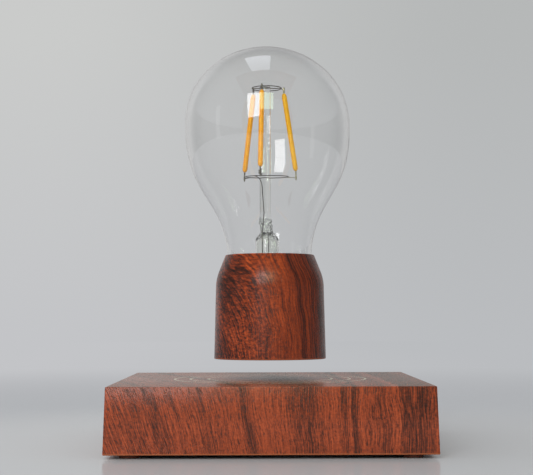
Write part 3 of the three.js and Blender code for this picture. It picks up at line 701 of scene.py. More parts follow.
@dataclass(frozen=True)
class BlownGlass:
    """Soda-lime glass, blown thin: clear, colourless, with a faint waviness that bends reflections."""

    name: str
    wave_mm: float = 9.0
    wave_depth_mm: float = 0.02
    tint: str = "#ffffff"
    light_through: float = 0.96

    def build(self) -> bpy.types.Material:
        """Makes the material: glass to the eye, and almost clear to the light of lamps.

        Returns:
            The finished material.
        """
        shading = Shading(self.name)
        tree = shading.tree
        waves = add_node(tree, "ShaderNodeTexNoise", inputs={
            "Vector": shading.place, "Scale": per_metre(self.wave_mm), "Detail": 1.0})
        shading.set(Base_Color=to_linear(self.tint), Roughness=0.0, IOR=1.52, Transmission_Weight=1.0)
        shading.bump(waves, self.wave_depth_mm)
        shadow = add_node(tree, "ShaderNodeLightPath").outputs["Is Shadow Ray"]
        clear = add_node(tree, "ShaderNodeBsdfTransparent", inputs={"Color": grey(self.light_through)})
        shading.surface(add_node(tree, "ShaderNodeMixShader", inputs={
            0: shadow, 1: shading.shader, 2: clear}))
        return shading.material


@dataclass(frozen=True)
class PhosphorCoat:
    """Silicone loaded with yellow phosphor, dipped over a light strip: orange-yellow, slightly waxy."""

    name: str
    colour: str = "#ffb01a"
    deep: str = "#f49e0c"
    mottle_mm: float = 1.8
    relief_mm: float = 0.03

    def build(self) -> bpy.types.Material:
        """Makes the material.

        Returns:
            The finished material.
        """
        shading = Shading(self.name)
        mottle = add_node(shading.tree, "ShaderNodeTexNoise", inputs={
            "Vector": shading.place, "Scale": per_metre(self.mottle_mm), "Detail": 3.0})
        stops = [(0.3, to_linear(self.deep)), (0.65, to_linear(self.colour))]
        shading.set(Base_Color=add_ramp(shading.tree, mottle, stops), Roughness=0.42, IOR=1.41,
                    Subsurface_Weight=0.15, Subsurface_Radius=(1.0, 0.6, 0.25), Subsurface_Scale=0.5 * MM)
        shading.bump(mottle, self.relief_mm)
        return shading.material


ENVELOPE_GLASS = BlownGlass("soda_lime_glass_blown")
# Stem: pressed lead glass, a little thicker and greyer, smooth
STEM_GLASS = BlownGlass("lead_glass_pressed", wave_mm=3.2, tint="#fafbf8", light_through=0.93)
# Pinch of the stem: crumpled where the tongs closed on it, so it breaks up what lies behind
PINCH_GLASS = BlownGlass(
    "lead_glass_crumpled", wave_mm=1.1, wave_depth_mm=0.16, tint="#e2e4df", light_through=0.9)
STRIP_COAT = PhosphorCoat("silicone_phosphor_dipped")
# Right strip: a batch with a more lemon phosphor
STRIP_COAT_RIGHT = PhosphorCoat("silicone_phosphor_dipped_right", colour="#fbb912", deep="#eeab0c")


Finish = Union[SurfaceFinish, WoodFilm, BlownGlass, PhosphorCoat]


class Dresser:
    """Gives pieces their materials and builds each material once."""

    def __init__(self) -> None:
        """Starts with no material made."""
        self.made: dict[str, bpy.types.Material] = {}

    def material(self, finish: Finish) -> bpy.types.Material:
        """The material of a finish."""
        if finish.name not in self.made:
            self.made[finish.name] = finish.build()
        return self.made[finish.name]

    def dress_nodes(self, finish: SurfaceFinish, *names: str) -> None:
        """Gives carried-over parts a finish.

        Args:
            finish: The finish.
            names: The parts.
        """
        for name in names:
            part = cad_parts[name]
            if not part.material_slots:
                part.data.materials.append(None)
            for slot in part.material_slots:
                slot.material = self.material(finish)
            log.info("%s keeps its shape, in %s", name, finish.name)


def into_scene(name: str, data: bpy.types.ID) -> bpy.types.Object:
    """Puts a mesh, a lamp or a camera into the scene."""
    thing = bpy.data.objects.new(name, data)
    bpy.context.scene.collection.objects.link(thing)
    return thing


def smooth_below(mesh: bpy.types.Mesh, angle_deg: float) -> None:
    """Smooths every edge below an angle and leaves the others sharp."""
    mesh.shade_smooth()
    mesh.set_sharp_from_angle(angle=math.radians(angle_deg))


def mesh_from(name: str, build: Builder) -> bpy.types.Mesh:
    """Makes a mesh with outward faces, turning millimetres into metres.

    Args:
        name: The mesh's name.
        build: Fills an empty bmesh, in millimetres.

    Returns:
        The new mesh.
    """
    work = bmesh.new()
    build(work)
    bmesh.ops.scale(work, vec=(MM, MM, MM), verts=work.verts)
    bmesh.ops.recalc_face_normals(work, faces=work.faces)
    mesh = bpy.data.meshes.new(name)
    work.to_mesh(mesh)
    work.free()
    return mesh


def add_turned(
    work: bmesh.types.BMesh,
    outline: Sequence[Point],
    sides: int,
    centre: tuple[float, float, float] = (0.0, 0.0, 0.0),
    warp: Optional[Callable[[float, float, float], tuple[float, float]]] = None,
    closed: bool = True,
) -> None:
    """Turns an outline about an upright axis.

    Args:
        work: The bmesh to add to.
        outline: Radius and height of each point, round the section.
        sides: How many sides the round has.
        centre: Where the axis stands.
        warp: Given radius, height and angle, the radius and height to use.
        closed: Whether the last point joins the first.
    """
    rings: list[list[bmesh.types.BMVert]] = []
    for radius, height in outline:
        if radius <= 1e-6:
            rings.append([work.verts.new((centre[0], centre[1], centre[2] + height))])
            continue
        ring = []
        for k in range(sides):
            angle = 2 * math.pi * k / sides
            r, h = warp(radius, height, angle) if warp else (radius, height)
            ring.append(work.verts.new((
                centre[0] + r * math.cos(angle), centre[1] + r * math.sin(angle), centre[2] + h)))
        rings.append(ring)
    for first, second in zip(rings, rings[1:] + rings[:1] if closed else rings[1:]):
        if len(first) == 1 and len(second) == 1:
            continue
        for k in range(sides):
            after = (k + 1) % sides
            corners = [first[k % len(first)], first[after % len(first)],
                       second[after % len(second)], second[k % len(second)]]
            unique = list(dict.fromkeys(corners))
            if len(unique) > 2:
                work.faces.new(unique)


def add_tube(
    work: bmesh.types.BMesh,
    path: Sequence[Vector],
    radii: Union[float, Sequence[float]],
    sides: int = 12,
    closed: bool = False,
) -> None:
    """Runs a round section along a path, with capped ends unless it closes on itself.

    Args:
        work: The bmesh to add to.
        path: The points it follows.
        radii: Its radius, or one for each point.
        sides: How many sides the section has.
        closed: Whether the last point joins the first.
    """
    count = len(path)
    sizes = [radii] * count if isinstance(radii, (int, float)) else list(radii)
    upright = abs((path[1] - path[0]).normalized().z) >= UPRIGHT_FROM
    side = Vector((1, 0, 0)) if upright else Vector((0, 0, 1))
    rings = []
    for i, point in enumerate(path):
        before = path[(i - 1) % count] if closed or i else point
        following = path[(i + 1) % count] if closed or i < count - 1 else point
        along = (following - before).normalized()
        side = (side - along * side.dot(along)).normalized()
        other = along.cross(side)
        rings.append([work.verts.new(point + (side * math.cos(a) + other * math.sin(a)) * sizes[i])
                      for a in (2 * math.pi * k / sides for k in range(sides))])
    pairs = list(zip(rings, rings[1:])) + ([(rings[-1], rings[0])] if closed else [])
    for first, second in pairs:
        for k in range(sides):
            after = (k + 1) % sides
            work.faces.new((first[k], first[after], second[after], second[k]))
    if not closed:
        work.faces.new(rings[0])
        work.faces.new(rings[-1])


def bezier(a: Point, b: Point, c: Point, d: Point, steps: int) -> list[Point]:
    """Points of a cubic curve.

    Args:
        a: Start.
        b: First handle.
        c: Second handle.
        d: End.
        steps: How many stretches it has.

    Returns:
        The points, both ends included.
    """
    points = []
    for i in range(steps + 1):
        t = i / steps
        weights = ((1 - t) ** 3, 3 * t * (1 - t) ** 2, 3 * t * t * (1 - t), t ** 3)
        points.append(tuple(sum(w * p[k] for w, p in zip(weights, (a, b, c, d))) for k in (0, 1)))
    return points


def finish_piece(piece: bpy.types.Object, body: str, node: str) -> bpy.types.Object:
    """Ties a piece to its body and the part it stands for, and reports it.

    Args:
        piece: The piece.
        body: The body it moves with.
        node: The part it replaces.

    Returns:
        The same piece.
    """
    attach(piece, body)
    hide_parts(node)
    log.info("%s rides on %s, %d faces, for %s", piece.name, body, len(piece.data.polygons), node)
    return piece


def add_piece(
    name: str, build: Builder, body: str, node: str, smooth_deg: float
) -> bpy.types.Object:
    """Makes a piece and ties it.

    Args:
        name: The piece's name.
        build: Fills an empty bmesh, in millimetres.
        body: The body it moves with.
        node: The part it replaces.
        smooth_deg: Edges below this angle are smooth.

    Returns:
        The new object.
    """
    mesh = mesh_from(name, build)
    smooth_below(mesh, smooth_deg)
    return finish_piece(into_scene(name, mesh), body, node)


@dataclass
class BaseHousing:
    """Square housing of the base, with its sharp drafted walls, posts and plug hole."""

    bottom: float = 1.5
    top: float = 26.8
    top_side: float = 124.0
    bottom_side: float = 125.6
    wall: float = 3.0
    ceiling: float = 24.4
    edge: float = 0.35
    post_place: float = 47.0
    post_radius: float = 5.2
    post_bottom: float = 10.6
    screw_end_radius: float = 3.2
    screw_end_bottom: float = 3.9
    post_bore: float = 1.7
    post_bore_depth: float = 2.5
    plug_radius: float = 4.2
    plug_height: float = 14.1
    # How much the plug hole widens at its mouth, and its stations from the face of the rear wall: it is
    # straight up to the second and wide from the third
    plug_flare: float = 0.45
    plug_stations: tuple[float, ...] = (-6.0, -0.4, 0.1, 2.0)
    # How far the hollow is cut past the lower edge, and how far a post runs up into the top
    overrun: float = 2.0
    post_root: float = 1.0
    # Edges below this angle are smooth
    smooth_deg: float = 20.0
    # Where the print on the side walls starts, so that they don't show the front's streaks again
    side_print: float = 30.0
    # A face takes the top's print from this upward share of its normal
    level_from: float = 0.6
    film: WoodFilm = BASE_FILM

    def side_at(self, height: float, inset: float = 0.0) -> float:
        """Width of the housing at a height, set in by a distance on each side."""
        share = (self.top - height) / (self.top - self.bottom)
        return self.top_side + (self.bottom_side - self.top_side) * share - 2 * inset

    def drafted(
        self, work: bmesh.types.BMesh, low: float, high: float, inset: float
    ) -> list[bmesh.types.BMVert]:
        """Adds a block with the housing's draft.

        Args:
            work: The bmesh to add to.
            low: Its lower height.
            high: Its upper height.
            inset: How far inside the walls it lies.

        Returns:
            Its corners.
        """
        corners = bmesh.ops.create_cube(work, size=1.0)["verts"]
        for corner in corners:
            height = high if corner.co.z > 0 else low
            side = self.side_at(height, inset)
            corner.co = Vector((corner.co.x * side, corner.co.y * side, height))
        return corners

    def build(self) -> bpy.types.Object:
        """Makes the housing.

        Returns:
            The piece.
        """
        def outer(work: bmesh.types.BMesh) -> None:
            """The block with its edges just broken."""
            corners = self.drafted(work, self.bottom, self.top, 0.0)
            edges = list({edge for corner in corners for edge in corner.link_edges})
            bmesh.ops.bevel(work, geom=edges, offset=self.edge, segments=3, profile=0.5, affect="EDGES")

        def cavity(work: bmesh.types.BMesh) -> None:
            """The hollow below the top."""
            self.drafted(work, self.bottom - self.overrun, self.ceiling, self.wall)

        def plug(work: bmesh.types.BMesh) -> None:
            """The hole in the rear wall, a little wider at its mouth."""
            rear = self.side_at(self.plug_height) / 2
            path = [Vector((0, rear + y, self.plug_height)) for y in self.plug_stations]
            radii = [self.plug_radius] * 2 + [self.plug_radius + self.plug_flare] * 2
            add_tube(work, path, radii, sides=48)

        def posts(work: bmesh.types.BMesh) -> None:
            """The four stepped posts under the top, each with a screw hole."""
            rooted = self.ceiling + self.post_root
            bore, bore_top = self.post_bore, self.post_bottom + self.post_bore_depth
            for x in (-self.post_place, self.post_place):
                for y in (-self.post_place, self.post_place):
                    add_turned(work, [
                        (bore, self.screw_end_bottom), (self.screw_end_radius, self.screw_end_bottom),
                        (self.screw_end_radius, self.post_bottom), (self.post_radius, self.post_bottom),
                        (self.post_radius, rooted), (0, rooted), (0, bore_top), (bore, bore_top)],
                        sides=32, centre=(x, y, 0.0))

        piece = into_scene("base_housing", mesh_from("base_housing", outer))
        cutters = [into_scene(name, mesh_from(name, made))
                   for name, made in (("cutter_cavity", cavity), ("cutter_plug", plug))]
        for cutter in cutters:
            cut = piece.modifiers.new(cutter.name, "BOOLEAN")
            cut.operation, cut.solver, cut.object = "DIFFERENCE", "EXACT", cutter
        shaped = bpy.data.meshes.new_from_object(piece.evaluated_get(bpy.context.evaluated_depsgraph_get()))
        piece.modifiers.clear()
        for cutter in cutters:
            bpy.data.objects.remove(cutter)
        work = bmesh.new()
        work.from_mesh(shaped)
        work.from_mesh(mesh_from("posts", posts))
        bmesh.ops.triangulate(work, faces=[f for f in work.faces if len(f.verts) > 4])
        work.to_mesh(shaped)
        work.free()
        piece.data = shaped
        shaped.name = "base_housing"
        smooth_below(shaped, self.smooth_deg)
        self.lay_print(shaped)
        return finish_piece(piece, "base", "base_shell")

    def lay_print(self, mesh: bpy.types.Mesh) -> None:
        """Lays the print's coordinates on the mesh: across and along the grain, in metres.

        The walls carry it upright. On the top it runs on from the front wall towards the rear.

        Args:
            mesh: The housing.
        """
        layer = mesh.uv_layers.new(name=GRAIN_MAP)
        top, half = self.top * MM, self.side_at(self.top) * MM / 2
        for polygon in mesh.polygons:
            normal = polygon.normal
            level = abs(normal.z) > self.level_from
            for index in polygon.loop_indices:
                x, y, z = mesh.vertices[mesh.loops[index].vertex_index].co
                if level:
                    place = (x, y + half)
                elif abs(normal.y) >= abs(normal.x):
                    place = (x, z - top if normal.y < 0 else 2 * half + top - z)
                else:
                    place = (math.copysign(self.side_print * MM, x) - y, z - top)
                layer.data[index].uv = place

    def dress(self, piece: bpy.types.Object, dresser: Dresser) -> None:
        """Gives the housing its film."""
        piece.data.materials.clear()
        piece.data.materials.append(dresser.material(self.film))


@dataclass
class Feet:
    """Four small pads under the base."""

    radius: float = 4.0
    height: float = 1.5
    places: tuple[tuple[str, float, float], ...] = (
        ("front_left", -53.4, -55.4), ("front_right", 53.4, -55.4),
        ("rear_left", -53.4, 55.4), ("rear_right", 53.4, 55.4))
    # Rounded edges as (distance in from the side, distance from the end)
    lower_edge: tuple[Point, ...] = ((0.55, 0.0), (0.3, 0.05), (0.08, 0.25), (0.0, 0.5))
    upper_edge: tuple[Point, ...] = ((0.02, 0.15), (0.12, 0.0))

    def build(self) -> list[bpy.types.Object]:
        """Makes the pads: flat below, with a rounded edge.

        Returns:
            The four pieces.
        """
        outline = [(0.0, 0.0)] + [(self.radius - inward, up) for inward, up in self.lower_edge]
        outline += [(self.radius - inward, self.height - down) for inward, down in self.upper_edge]
        outline.append((0.0, self.height))
        return [add_piece(
            f"pad_{name}", lambda work: add_turned(work, outline, sides=48, centre=(x, y, 0)),
            "base", f"foot_{name}", smooth_deg=35.0) for name, x, y in self.places]

    def dress(self, pieces: Sequence[bpy.types.Object], dresser: Dresser) -> None:
        """Gives the pads their rubber."""
        for piece in pieces:
            piece.data.materials.append(dresser.material(FOOT_RUBBER))


@dataclass
class BaseInside:
    """What the base holds: carried over in shape, each in its own material."""

    corners: tuple[str, ...] = ("front_left", "front_right", "rear_left", "rear_right")
    sides: tuple[str, ...] = ("right", "left", "rear", "front")

    def dress(self, dresser: Dresser) -> None:
        """Gives every inner part its material."""
        dresser.dress_nodes(DARK_PLASTIC, "bottom_cover", "dc_jack", "controller_chip",
                            "field_sensor_x", "field_sensor_y", "field_sensor_z")
        dresser.dress_nodes(SCREW_STEEL, "touch_spring", "board_screw_front_right", "board_screw_rear_right",
                            *(f"cover_screw_{name}" for name in self.corners))
        dresser.dress_nodes(CIRCUIT_BOARD, "control_board", "sensor_board")
        dresser.dress_nodes(PIN_BRASS, "dc_jack_pin")
        dresser.dress_nodes(CAPACITOR_CAN, "filter_capacitor")
        dresser.dress_nodes(FERRITE, "power_inductor")
        dresser.dress_nodes(PALE_PLASTIC, "magnet_carrier", *(f"coil_bobbin_{name}" for name in self.sides))
        dresser.dress_nodes(MAGNET_PLATING, *(f"base_magnet_{name}" for name in self.corners))
        dresser.dress_nodes(COIL_WINDING, *(f"coil_winding_{name}" for name in self.sides))
        dresser.dress_nodes(COIL_IRON, *(f"coil_core_{name}" for name in self.sides))
        dresser.dress_nodes(SPIRAL_WINDING, "transmitter_coil")
        dresser.dress_nodes(COPPER_SHEET, "touch_electrode")


@dataclass
class Cap:
    """Bell-shaped cap: straight body, rounded shoulder, straight slope to the rim."""

    bottom: float = 35.2
    body_radius: float = 22.8
    mouth_flare: float = 0.7
    body_height: float = 29.8
    shoulder_radius: float = 18.7
    slope_deg: float = 22.0
    slope_height: float = 6.85
    opening: float = 18.0
    bore: float = 20.9
    upper_bore: float = 20.0
    neck_seat: float = 23.1
    upper_bore_height: float = 11.8
    rim_land: float = 3.4
    lip_round: float = 0.45
    # Heights of the rings of points on the body
    body_rings: tuple[float, ...] = (4.0, 10.0, 17.0, 24.0)
    # Broken outer edge of the rim, as (distance out, distance down) from where the slope meets the top
    rim_edge: tuple[Point, ...] = ((0.121, 0.25), (-0.02, 0.08), (-0.14, 0.0))
    # Bevel at the opening and at the mouth
    bevel: float = 0.1
    sides: int = 192
    film: WoodFilm = CAP_FILM

    def outline(self) -> list[Point]:
        """Section of the cap, from its mouth up the outside and down the bore."""
        slope = math.radians(self.slope_deg)
        mouth = self.body_radius + self.mouth_flare
        flare = self.mouth_flare / self.body_height
        # Rounded lip, in shares of its radius: distance in, and height
        lip_shares = ((1.0, 0.0), (0.3, 0.12), (0.08, 0.4), (flare, 1.0))
        outside = [(mouth - inward * self.lip_round, up * self.lip_round) for inward, up in lip_shares]
        outside += [(mouth - flare * h, h) for h in (*self.body_rings, self.body_height)]
        steps = 16
        for i in range(1, steps + 1):
            angle = slope * i / steps
            outside.append((self.body_radius - self.shoulder_radius * (1 - math.cos(angle)),
                            self.body_height + self.shoulder_radius * math.sin(angle)))
        top = outside[-1][1] + self.slope_height
        rim = outside[-1][0] - self.slope_height * math.tan(slope)
        outside += [(rim + out, top - down) for out, down in self.rim_edge]
        opening, upper, seat, bore, bevel = (
            self.opening, self.upper_bore, self.neck_seat, self.bore, self.bevel)
        inside = [(opening + bevel, top), (opening, top - bevel), (opening, top - self.rim_land),
                  (upper, seat + self.upper_bore_height), (upper, seat), (bore, seat), (bore, bevel),
                  (bore + bevel, 0.0)]
        return outside + inside

    def build(self) -> bpy.types.Object:
        """Makes the cap.

        Returns:
            The piece.
        """
        return add_piece(
            "cap_skin", lambda work: add_turned(work, self.outline(), self.sides, (0, 0, self.bottom)),
            "bulb", "cap_shell", smooth_deg=28.0)

    def dress(self, piece: bpy.types.Object, dresser: Dresser) -> None:
        """Gives the cap its film, and what it holds their own materials."""
        piece.data.materials.append(dresser.material(self.film))
        dresser.dress_nodes(DARK_PLASTIC, "cap_cover")
        dresser.dress_nodes(SPIRAL_WINDING, "receiver_coil")
        dresser.dress_nodes(FERRITE, "receiver_shield")
        dresser.dress_nodes(MAGNET_PLATING, "float_magnet")
        dresser.dress_nodes(CIRCUIT_BOARD, "receiver_board")
        dresser.dress_nodes(CAPACITOR_CAN, "receiver_capacitor")
        dresser.dress_nodes(PALE_PLASTIC, "neck_collar")


@dataclass
class Envelope:
    """Blown glass of the bulb: neck, bell, short belt and dome."""

    bottom: float = 58.3
    neck_length: float = 18.0
    neck_radius: float = 17.7
    neck_ease: float = 25.5
    bell_length: float = 54.7
    bell_ease: float = 27.0
    belt_radius: float = 34.9
    belt_length: float = 4.3
    dome_height: float = 32.2
    wall: float = 0.36
    # Sideways shift for each millimetre above the cap: the bulb stands a little askew
    lean: float = -0.0148
    lean_from: float = 12.0
    # The belt isn't quite straight: it swells by this much over this height
    swell: float = 0.22
    swell_height: float = 8.0
    sides: int = 160

    def outline(self, inset: float) -> list[Point]:
        """Points from the neck's end to the top, set in by a distance."""
        neck, belt = self.neck_radius - inset, self.belt_radius - inset
        bell_top = self.neck_length + self.bell_length
        belt_top = bell_top + self.belt_length
        points = [(neck, 0.0), (neck, self.neck_length / 2)]
        points += bezier((neck, self.neck_length), (neck, self.neck_length + self.neck_ease),
                         (belt, bell_top - self.bell_ease), (belt, bell_top), steps=44)
        points.append((belt, (bell_top + belt_top) / 2))
        steps = 40
        for i in range(steps + 1):
            angle = math.pi / 2 * i / steps
            radius = belt * math.cos(angle) if i < steps else 0.0
            points.append((radius, belt_top + (self.dome_height - inset) * math.sin(angle)))
        return points

    def build(self) -> bpy.types.Object:
        """Makes the glass with its true wall, both faces.

        Returns:
            The piece.
        """
        def blown(work: bmesh.types.BMesh) -> None:
            """The turned section, set a little askew above the cap."""
            add_turned(work, self.outline(0.0) + self.outline(self.wall)[::-1], self.sides)
            middle = self.neck_length + self.bell_length + self.belt_length / 2
            for vertex in work.verts:
                at = (vertex.co.z - middle) / self.swell_height
                grown = 1 + self.swell / self.belt_radius * (math.exp(-at * at) - math.exp(-1))
                if abs(at) < 1:
                    vertex.co.x *= grown
                    vertex.co.y *= grown
                vertex.co.x += self.lean * max(0.0, vertex.co.z - self.lean_from)
                vertex.co.z += self.bottom

        return add_piece("bulb_glass", blown, "bulb", "glass_envelope", smooth_deg=60.0)

    def dress(self, piece: bpy.types.Object, dresser: Dresser) -> None:
        """Gives the envelope its glass."""
        piece.data.materials.append(dresser.material(ENVELOPE_GLASS))


@dataclass
class Mount:
    """Glass stem, wires and light strips, standing a little left of the middle."""

    lean: float = -1.1
    bottom: float = 58.3
    rim_radius: float = 15.6
    flare_height: float = 13.2
    tube_radius: float = 4.9
    tube_wall: float = 0.7
    # The rod stands off the tube's middle by this much
    rod_shift: float = -0.7
    tube_top: float = 26.9
    pinch_bottom: float = 30.3
    pinch_top: float = 36.0
    pinch_radius: float = 2.6
    rod_radius: float = 2.35
    rod_top: float = 93.2
    # Run of the shoulder's curve at its foot, and at its head inwards and down
    shoulder_foot: float = 1.0
    shoulder_head: tuple[float, float] = (1.0, 1.2)
    # Heights of the rings of points on the rod, and its tip as (share of its radius, distance down)
    rod_rings: tuple[float, ...] = (37.2, 39.0, 50.0, 65.0, 80.0)
    tip: tuple[Point, ...] = ((1.0, 1.0), (0.93, 0.5), (0.7, 0.15), (0.35, 0.0), (0.0, 0.0))
    # Ripples of the pinch: how deep, how far from its middle, how far from the axis, and the noise's size
    ripple: float = 0.75
    ripple_reach: float = 5.0
    ripple_from: float = 1.5
    ripple_scale: tuple[float, float] = (1.3, 0.55)
    ripple_pitch: float = 2.6
    # The crumpled glass starts this far below the pinch
    crumple_skirt: float = 1.5
    # Height over which the rod is set over
    shift_rise: float = 4.0
    wire_radius: float = 0.18
    spur_radius: float = 0.14
    # How far a spur bows upwards
    spur_bow: float = 0.12
    # Lead-in wires: distance from the rod, lower end, directions of the two, and how far the first sways
    lead_reach: float = 3.3
    lead_bottom: float = -7.6
    lead_sides: tuple[float, float] = (-126.0, 77.6)
    lead_sway: float = 0.9
    # Over how much height the sway sets in above the pinch, and dies out below the bend
    sway_in: float = 8.0
    sway_out: float = 10.0
    # How far short of the ring's middle line a lead-in ends
    lead_gap: float = 0.5
    # Radius and height of each ring
    lower_ring: tuple[float, float] = (9.2, 54.0)
    # The lower ring's front hangs lower than its middle by this much
    ring_tilt: float = 0.45
    upper_ring: tuple[float, float] = (6.3, 91.9)
    # How far a spur reaches past the strip's end
    spur_lap: float = 0.35
    # Strips: their radius, and the distance from the rod and the height of their lower and upper ends
    strip_radius: float = 1.07
    strip_low: tuple[float, float] = (13.0, 56.98)
    strip_high: tuple[float, float] = (7.7, 89.97)
    # Directions of each strip's lower and upper end
    strips: tuple[tuple[str, float, float], ...] = (
        ("right", 17.6, 17.6), ("middle", -102.4, -105.5), ("left", 137.6, 137.6))
    # Drawn-in ends of the coat, as (distance from the end, share of its radius)
    coat_end: tuple[Point, ...] = ((-0.1, 0.3), (0.1, 0.55), (0.5, 0.82), (1.1, 0.97), (1.8, 1.0))
    # The dipped coat runs thick and thin by this share, and this fast in radians for each millimetre
    coat_swell_share: float = 0.03
    coat_swell_rate: float = 2.3
    # Lower and upper tab: how far outside the strip's end each joins the spur, how far it runs on up or
    # down from there, how far it laps into the coat, and its radii
    tab_reach: tuple[float, float] = (0.1, 0.05)
    tab_tail: tuple[float, float] = (-1.1, 0.8)
    tab_lap: float = 0.1
    low_tab_radii: tuple[float, ...] = (0.34, 0.3, 0.42, 0.22)
    high_tab_radii: tuple[float, ...] = (0.34, 0.32, 0.42, 0.24)
    # The right strip's tabs lap over the ring by this much
    tongue_lap: float = 0.2
    # Wire that ties the middle strip's lower tab: radius of its turns, how many steps it has, the angle in
    # radians and the rise of each, and its own radius
    tie_radius: float = 0.62
    tie_steps: int = 20
    tie_turn: float = 0.7
    tie_rise: float = 0.1
    tie_wire_radius: float = 0.24

    def place(self, radius: float, angle_deg: float, height: float) -> Vector:
        """A point by its distance and direction from the rod and its height above the neck's end."""
        angle = math.radians(angle_deg)
        return Vector((
            self.lean + radius * math.cos(angle), radius * math.sin(angle), self.bottom + height))

    def build_stem(self) -> bpy.types.Object:
        """Makes the stem: flare, tube, crumpled pinch and rod, with the hollow below.

        Returns:
            The piece.
        """
        def flare(inset: float) -> list[Point]:
            """The flare from its rim up to the tube, set in by a distance."""
            rim, tube = self.rim_radius - inset, self.tube_radius - inset
            return bezier((rim, 0), (rim, self.flare_height / 2), (tube, self.flare_height / 2),
                          (tube, self.flare_height), steps=18)

        def shoulder(inset: float) -> list[Point]:
            """The shoulder from the tube up to the pinch, set in by a distance."""
            tube = self.tube_radius - inset
            inward, down = self.shoulder_head
            return bezier(
                (tube, self.tube_top - inset / 2), (tube, self.tube_top + self.shoulder_foot - inset),
                (self.pinch_radius - inset + inward, self.pinch_bottom - down - inset),
                (self.pinch_radius - 2 * inset, self.pinch_bottom - inset), steps=10)

        steps, length = 12, self.pinch_top - self.pinch_bottom
        pinch = [(self.pinch_radius, self.pinch_bottom + length * i / steps) for i in range(1, steps + 1)]
        rod = [(self.rod_radius, h) for h in self.rod_rings]
        tip = [(self.rod_radius * share, self.rod_top - down) for share, down in self.tip]
        hollow = [(0, self.pinch_bottom - self.tube_wall)] + shoulder(self.tube_wall)[::-1]
        outline = flare(0) + shoulder(0) + pinch + rod + tip + hollow + flare(self.tube_wall)[::-1]

        def crumpled(radius: float, height: float, angle: float) -> tuple[float, float]:
            """Presses ripples into the pinch and its shoulders."""
            middle = (self.pinch_bottom + self.pinch_top) / 2
            near = max(0.0, 1 - abs(height - middle) / self.ripple_reach)
            if radius < self.ripple_from or not near:
                return radius, height
            across, up = self.ripple_scale
            where = Vector((math.cos(angle) * across, math.sin(angle) * across, height * up))
            return radius + self.ripple * near * noise.noise(where * self.ripple_pitch), height

        def fused(work: bmesh.types.BMesh) -> None:
            """The turned section, with the rod set over to one side."""
            add_turned(work, outline, sides=72, centre=(self.lean, 0, self.bottom), warp=crumpled)
            for vertex in work.verts:
                height = vertex.co.z - self.bottom
                vertex.co.x += self.rod_shift * clamped((height - self.pinch_bottom) / self.shift_rise)
            for face in work.faces:
                height = face.calc_center_median().z - self.bottom
                face.material_index = int(self.pinch_bottom - self.crumple_skirt < height < self.pinch_top)

        return add_piece("bulb_stem", fused, "bulb", "glass_stem", smooth_deg=45.0)

    def ring_height(self, ring: tuple[float, float], angle_deg: float) -> float:
        """Height of a ring wire at a direction: the lower ring is tilted."""
        tilt = self.ring_tilt if ring is self.lower_ring else 0.0
        return ring[1] + tilt * math.sin(math.radians(angle_deg))

    def bus(self, ring: tuple[float, float], reach: float, bar: bool) -> Builder:
        """How to make a ring wire with a spur to each strip.

        Args:
            ring: Its radius and height.
            reach: How far out the spurs run.
            bar: Whether a bar through the rod holds it.

        Returns:
            A function that fills a bmesh.
        """
        radius, height = ring

        def build(work: bmesh.types.BMesh) -> None:
            """Ring, spurs and bar."""
            loop = [self.place(radius, a, self.ring_height(ring, a)) for a in range(0, 360, 5)]
            add_tube(work, loop, self.wire_radius, closed=True)
            steps = 4
            for name, *ends in self.strips:
                if name == "right":
                    # Its own tabs reach the rings
                    continue
                angle = ends[0] if ring is self.lower_ring else ends[1]
                rise = height - self.ring_height(ring, angle)
                spur = []
                for t in (k / steps for k in range(steps + 1)):
                    up = height - rise * (1 - t) + self.spur_bow * math.sin(t * math.pi)
                    spur.append(self.place(radius + (reach - radius) * t, angle, up))
                add_tube(work, spur, self.wire_radius)
            if bar:
                add_tube(work, [self.place(radius, 180, height), self.place(0, 0, height),
                                self.place(radius, 0, height)], self.wire_radius)
        return build

    def lead(self, angle_deg: float, ring: tuple[float, float], sway: float) -> Builder:
        """How to make a lead-in wire that runs up beside the rod and bends out to a ring.

        Args:
            angle_deg: Which side of the rod it is on.
            ring: Radius and height of the ring it meets.
            sway: How far it wanders sideways on its way up.

        Returns:
            A function that fills a bmesh.
        """
        def build(work: bmesh.types.BMesh) -> None:
            """The wire."""
            radius, height = ring[0], self.ring_height(ring, angle_deg)
            bend = height - (radius - self.lead_reach)
            side = self.place(1, angle_deg + 90, 0) - self.place(0, 0, 0)
            path = []
            rising, bending = 24, 6
            for i in range(rising + 1):
                at = self.lead_bottom + (bend - self.lead_bottom) * i / rising
                free = clamped((at - self.pinch_bottom) / self.sway_in) * clamped((bend - at) / self.sway_out)
                path.append(self.place(self.lead_reach, angle_deg, at) + side * sway * free)
            for i in range(1, bending + 1):
                t = i / bending
                out = self.lead_reach + (radius - self.lead_gap - self.lead_reach) * t * t
                up = bend + (height - bend) * (1 - (1 - t) ** 2)
                path.append(self.place(out, angle_deg, up))
            add_tube(work, path, self.wire_radius, sides=10)
        return build

    def build_wires(self) -> list[bpy.types.Object]:
        """Makes both ring wires and both lead-in wires.

        Returns:
            The four pieces.
        """
        low_reach, high_reach = self.strip_low[0] + self.spur_lap, self.strip_high[0] + self.spur_lap
        front, rear = self.lead_sides
        plans = (
            ("ring_wire_lower", self.bus(self.lower_ring, low_reach, False), "lower_bus_wire"),
            ("ring_wire_upper", self.bus(self.upper_ring, high_reach, True), "upper_bus_wire"),
            ("lead_wire_front", self.lead(front, self.lower_ring, self.lead_sway), "lead_in_lower"),
            ("lead_wire_rear", self.lead(rear, self.upper_ring, 0.0), "lead_in_upper"))
        return [add_piece(name, build, "bulb", node, smooth_deg=50.0)
                for name, build, node in plans]

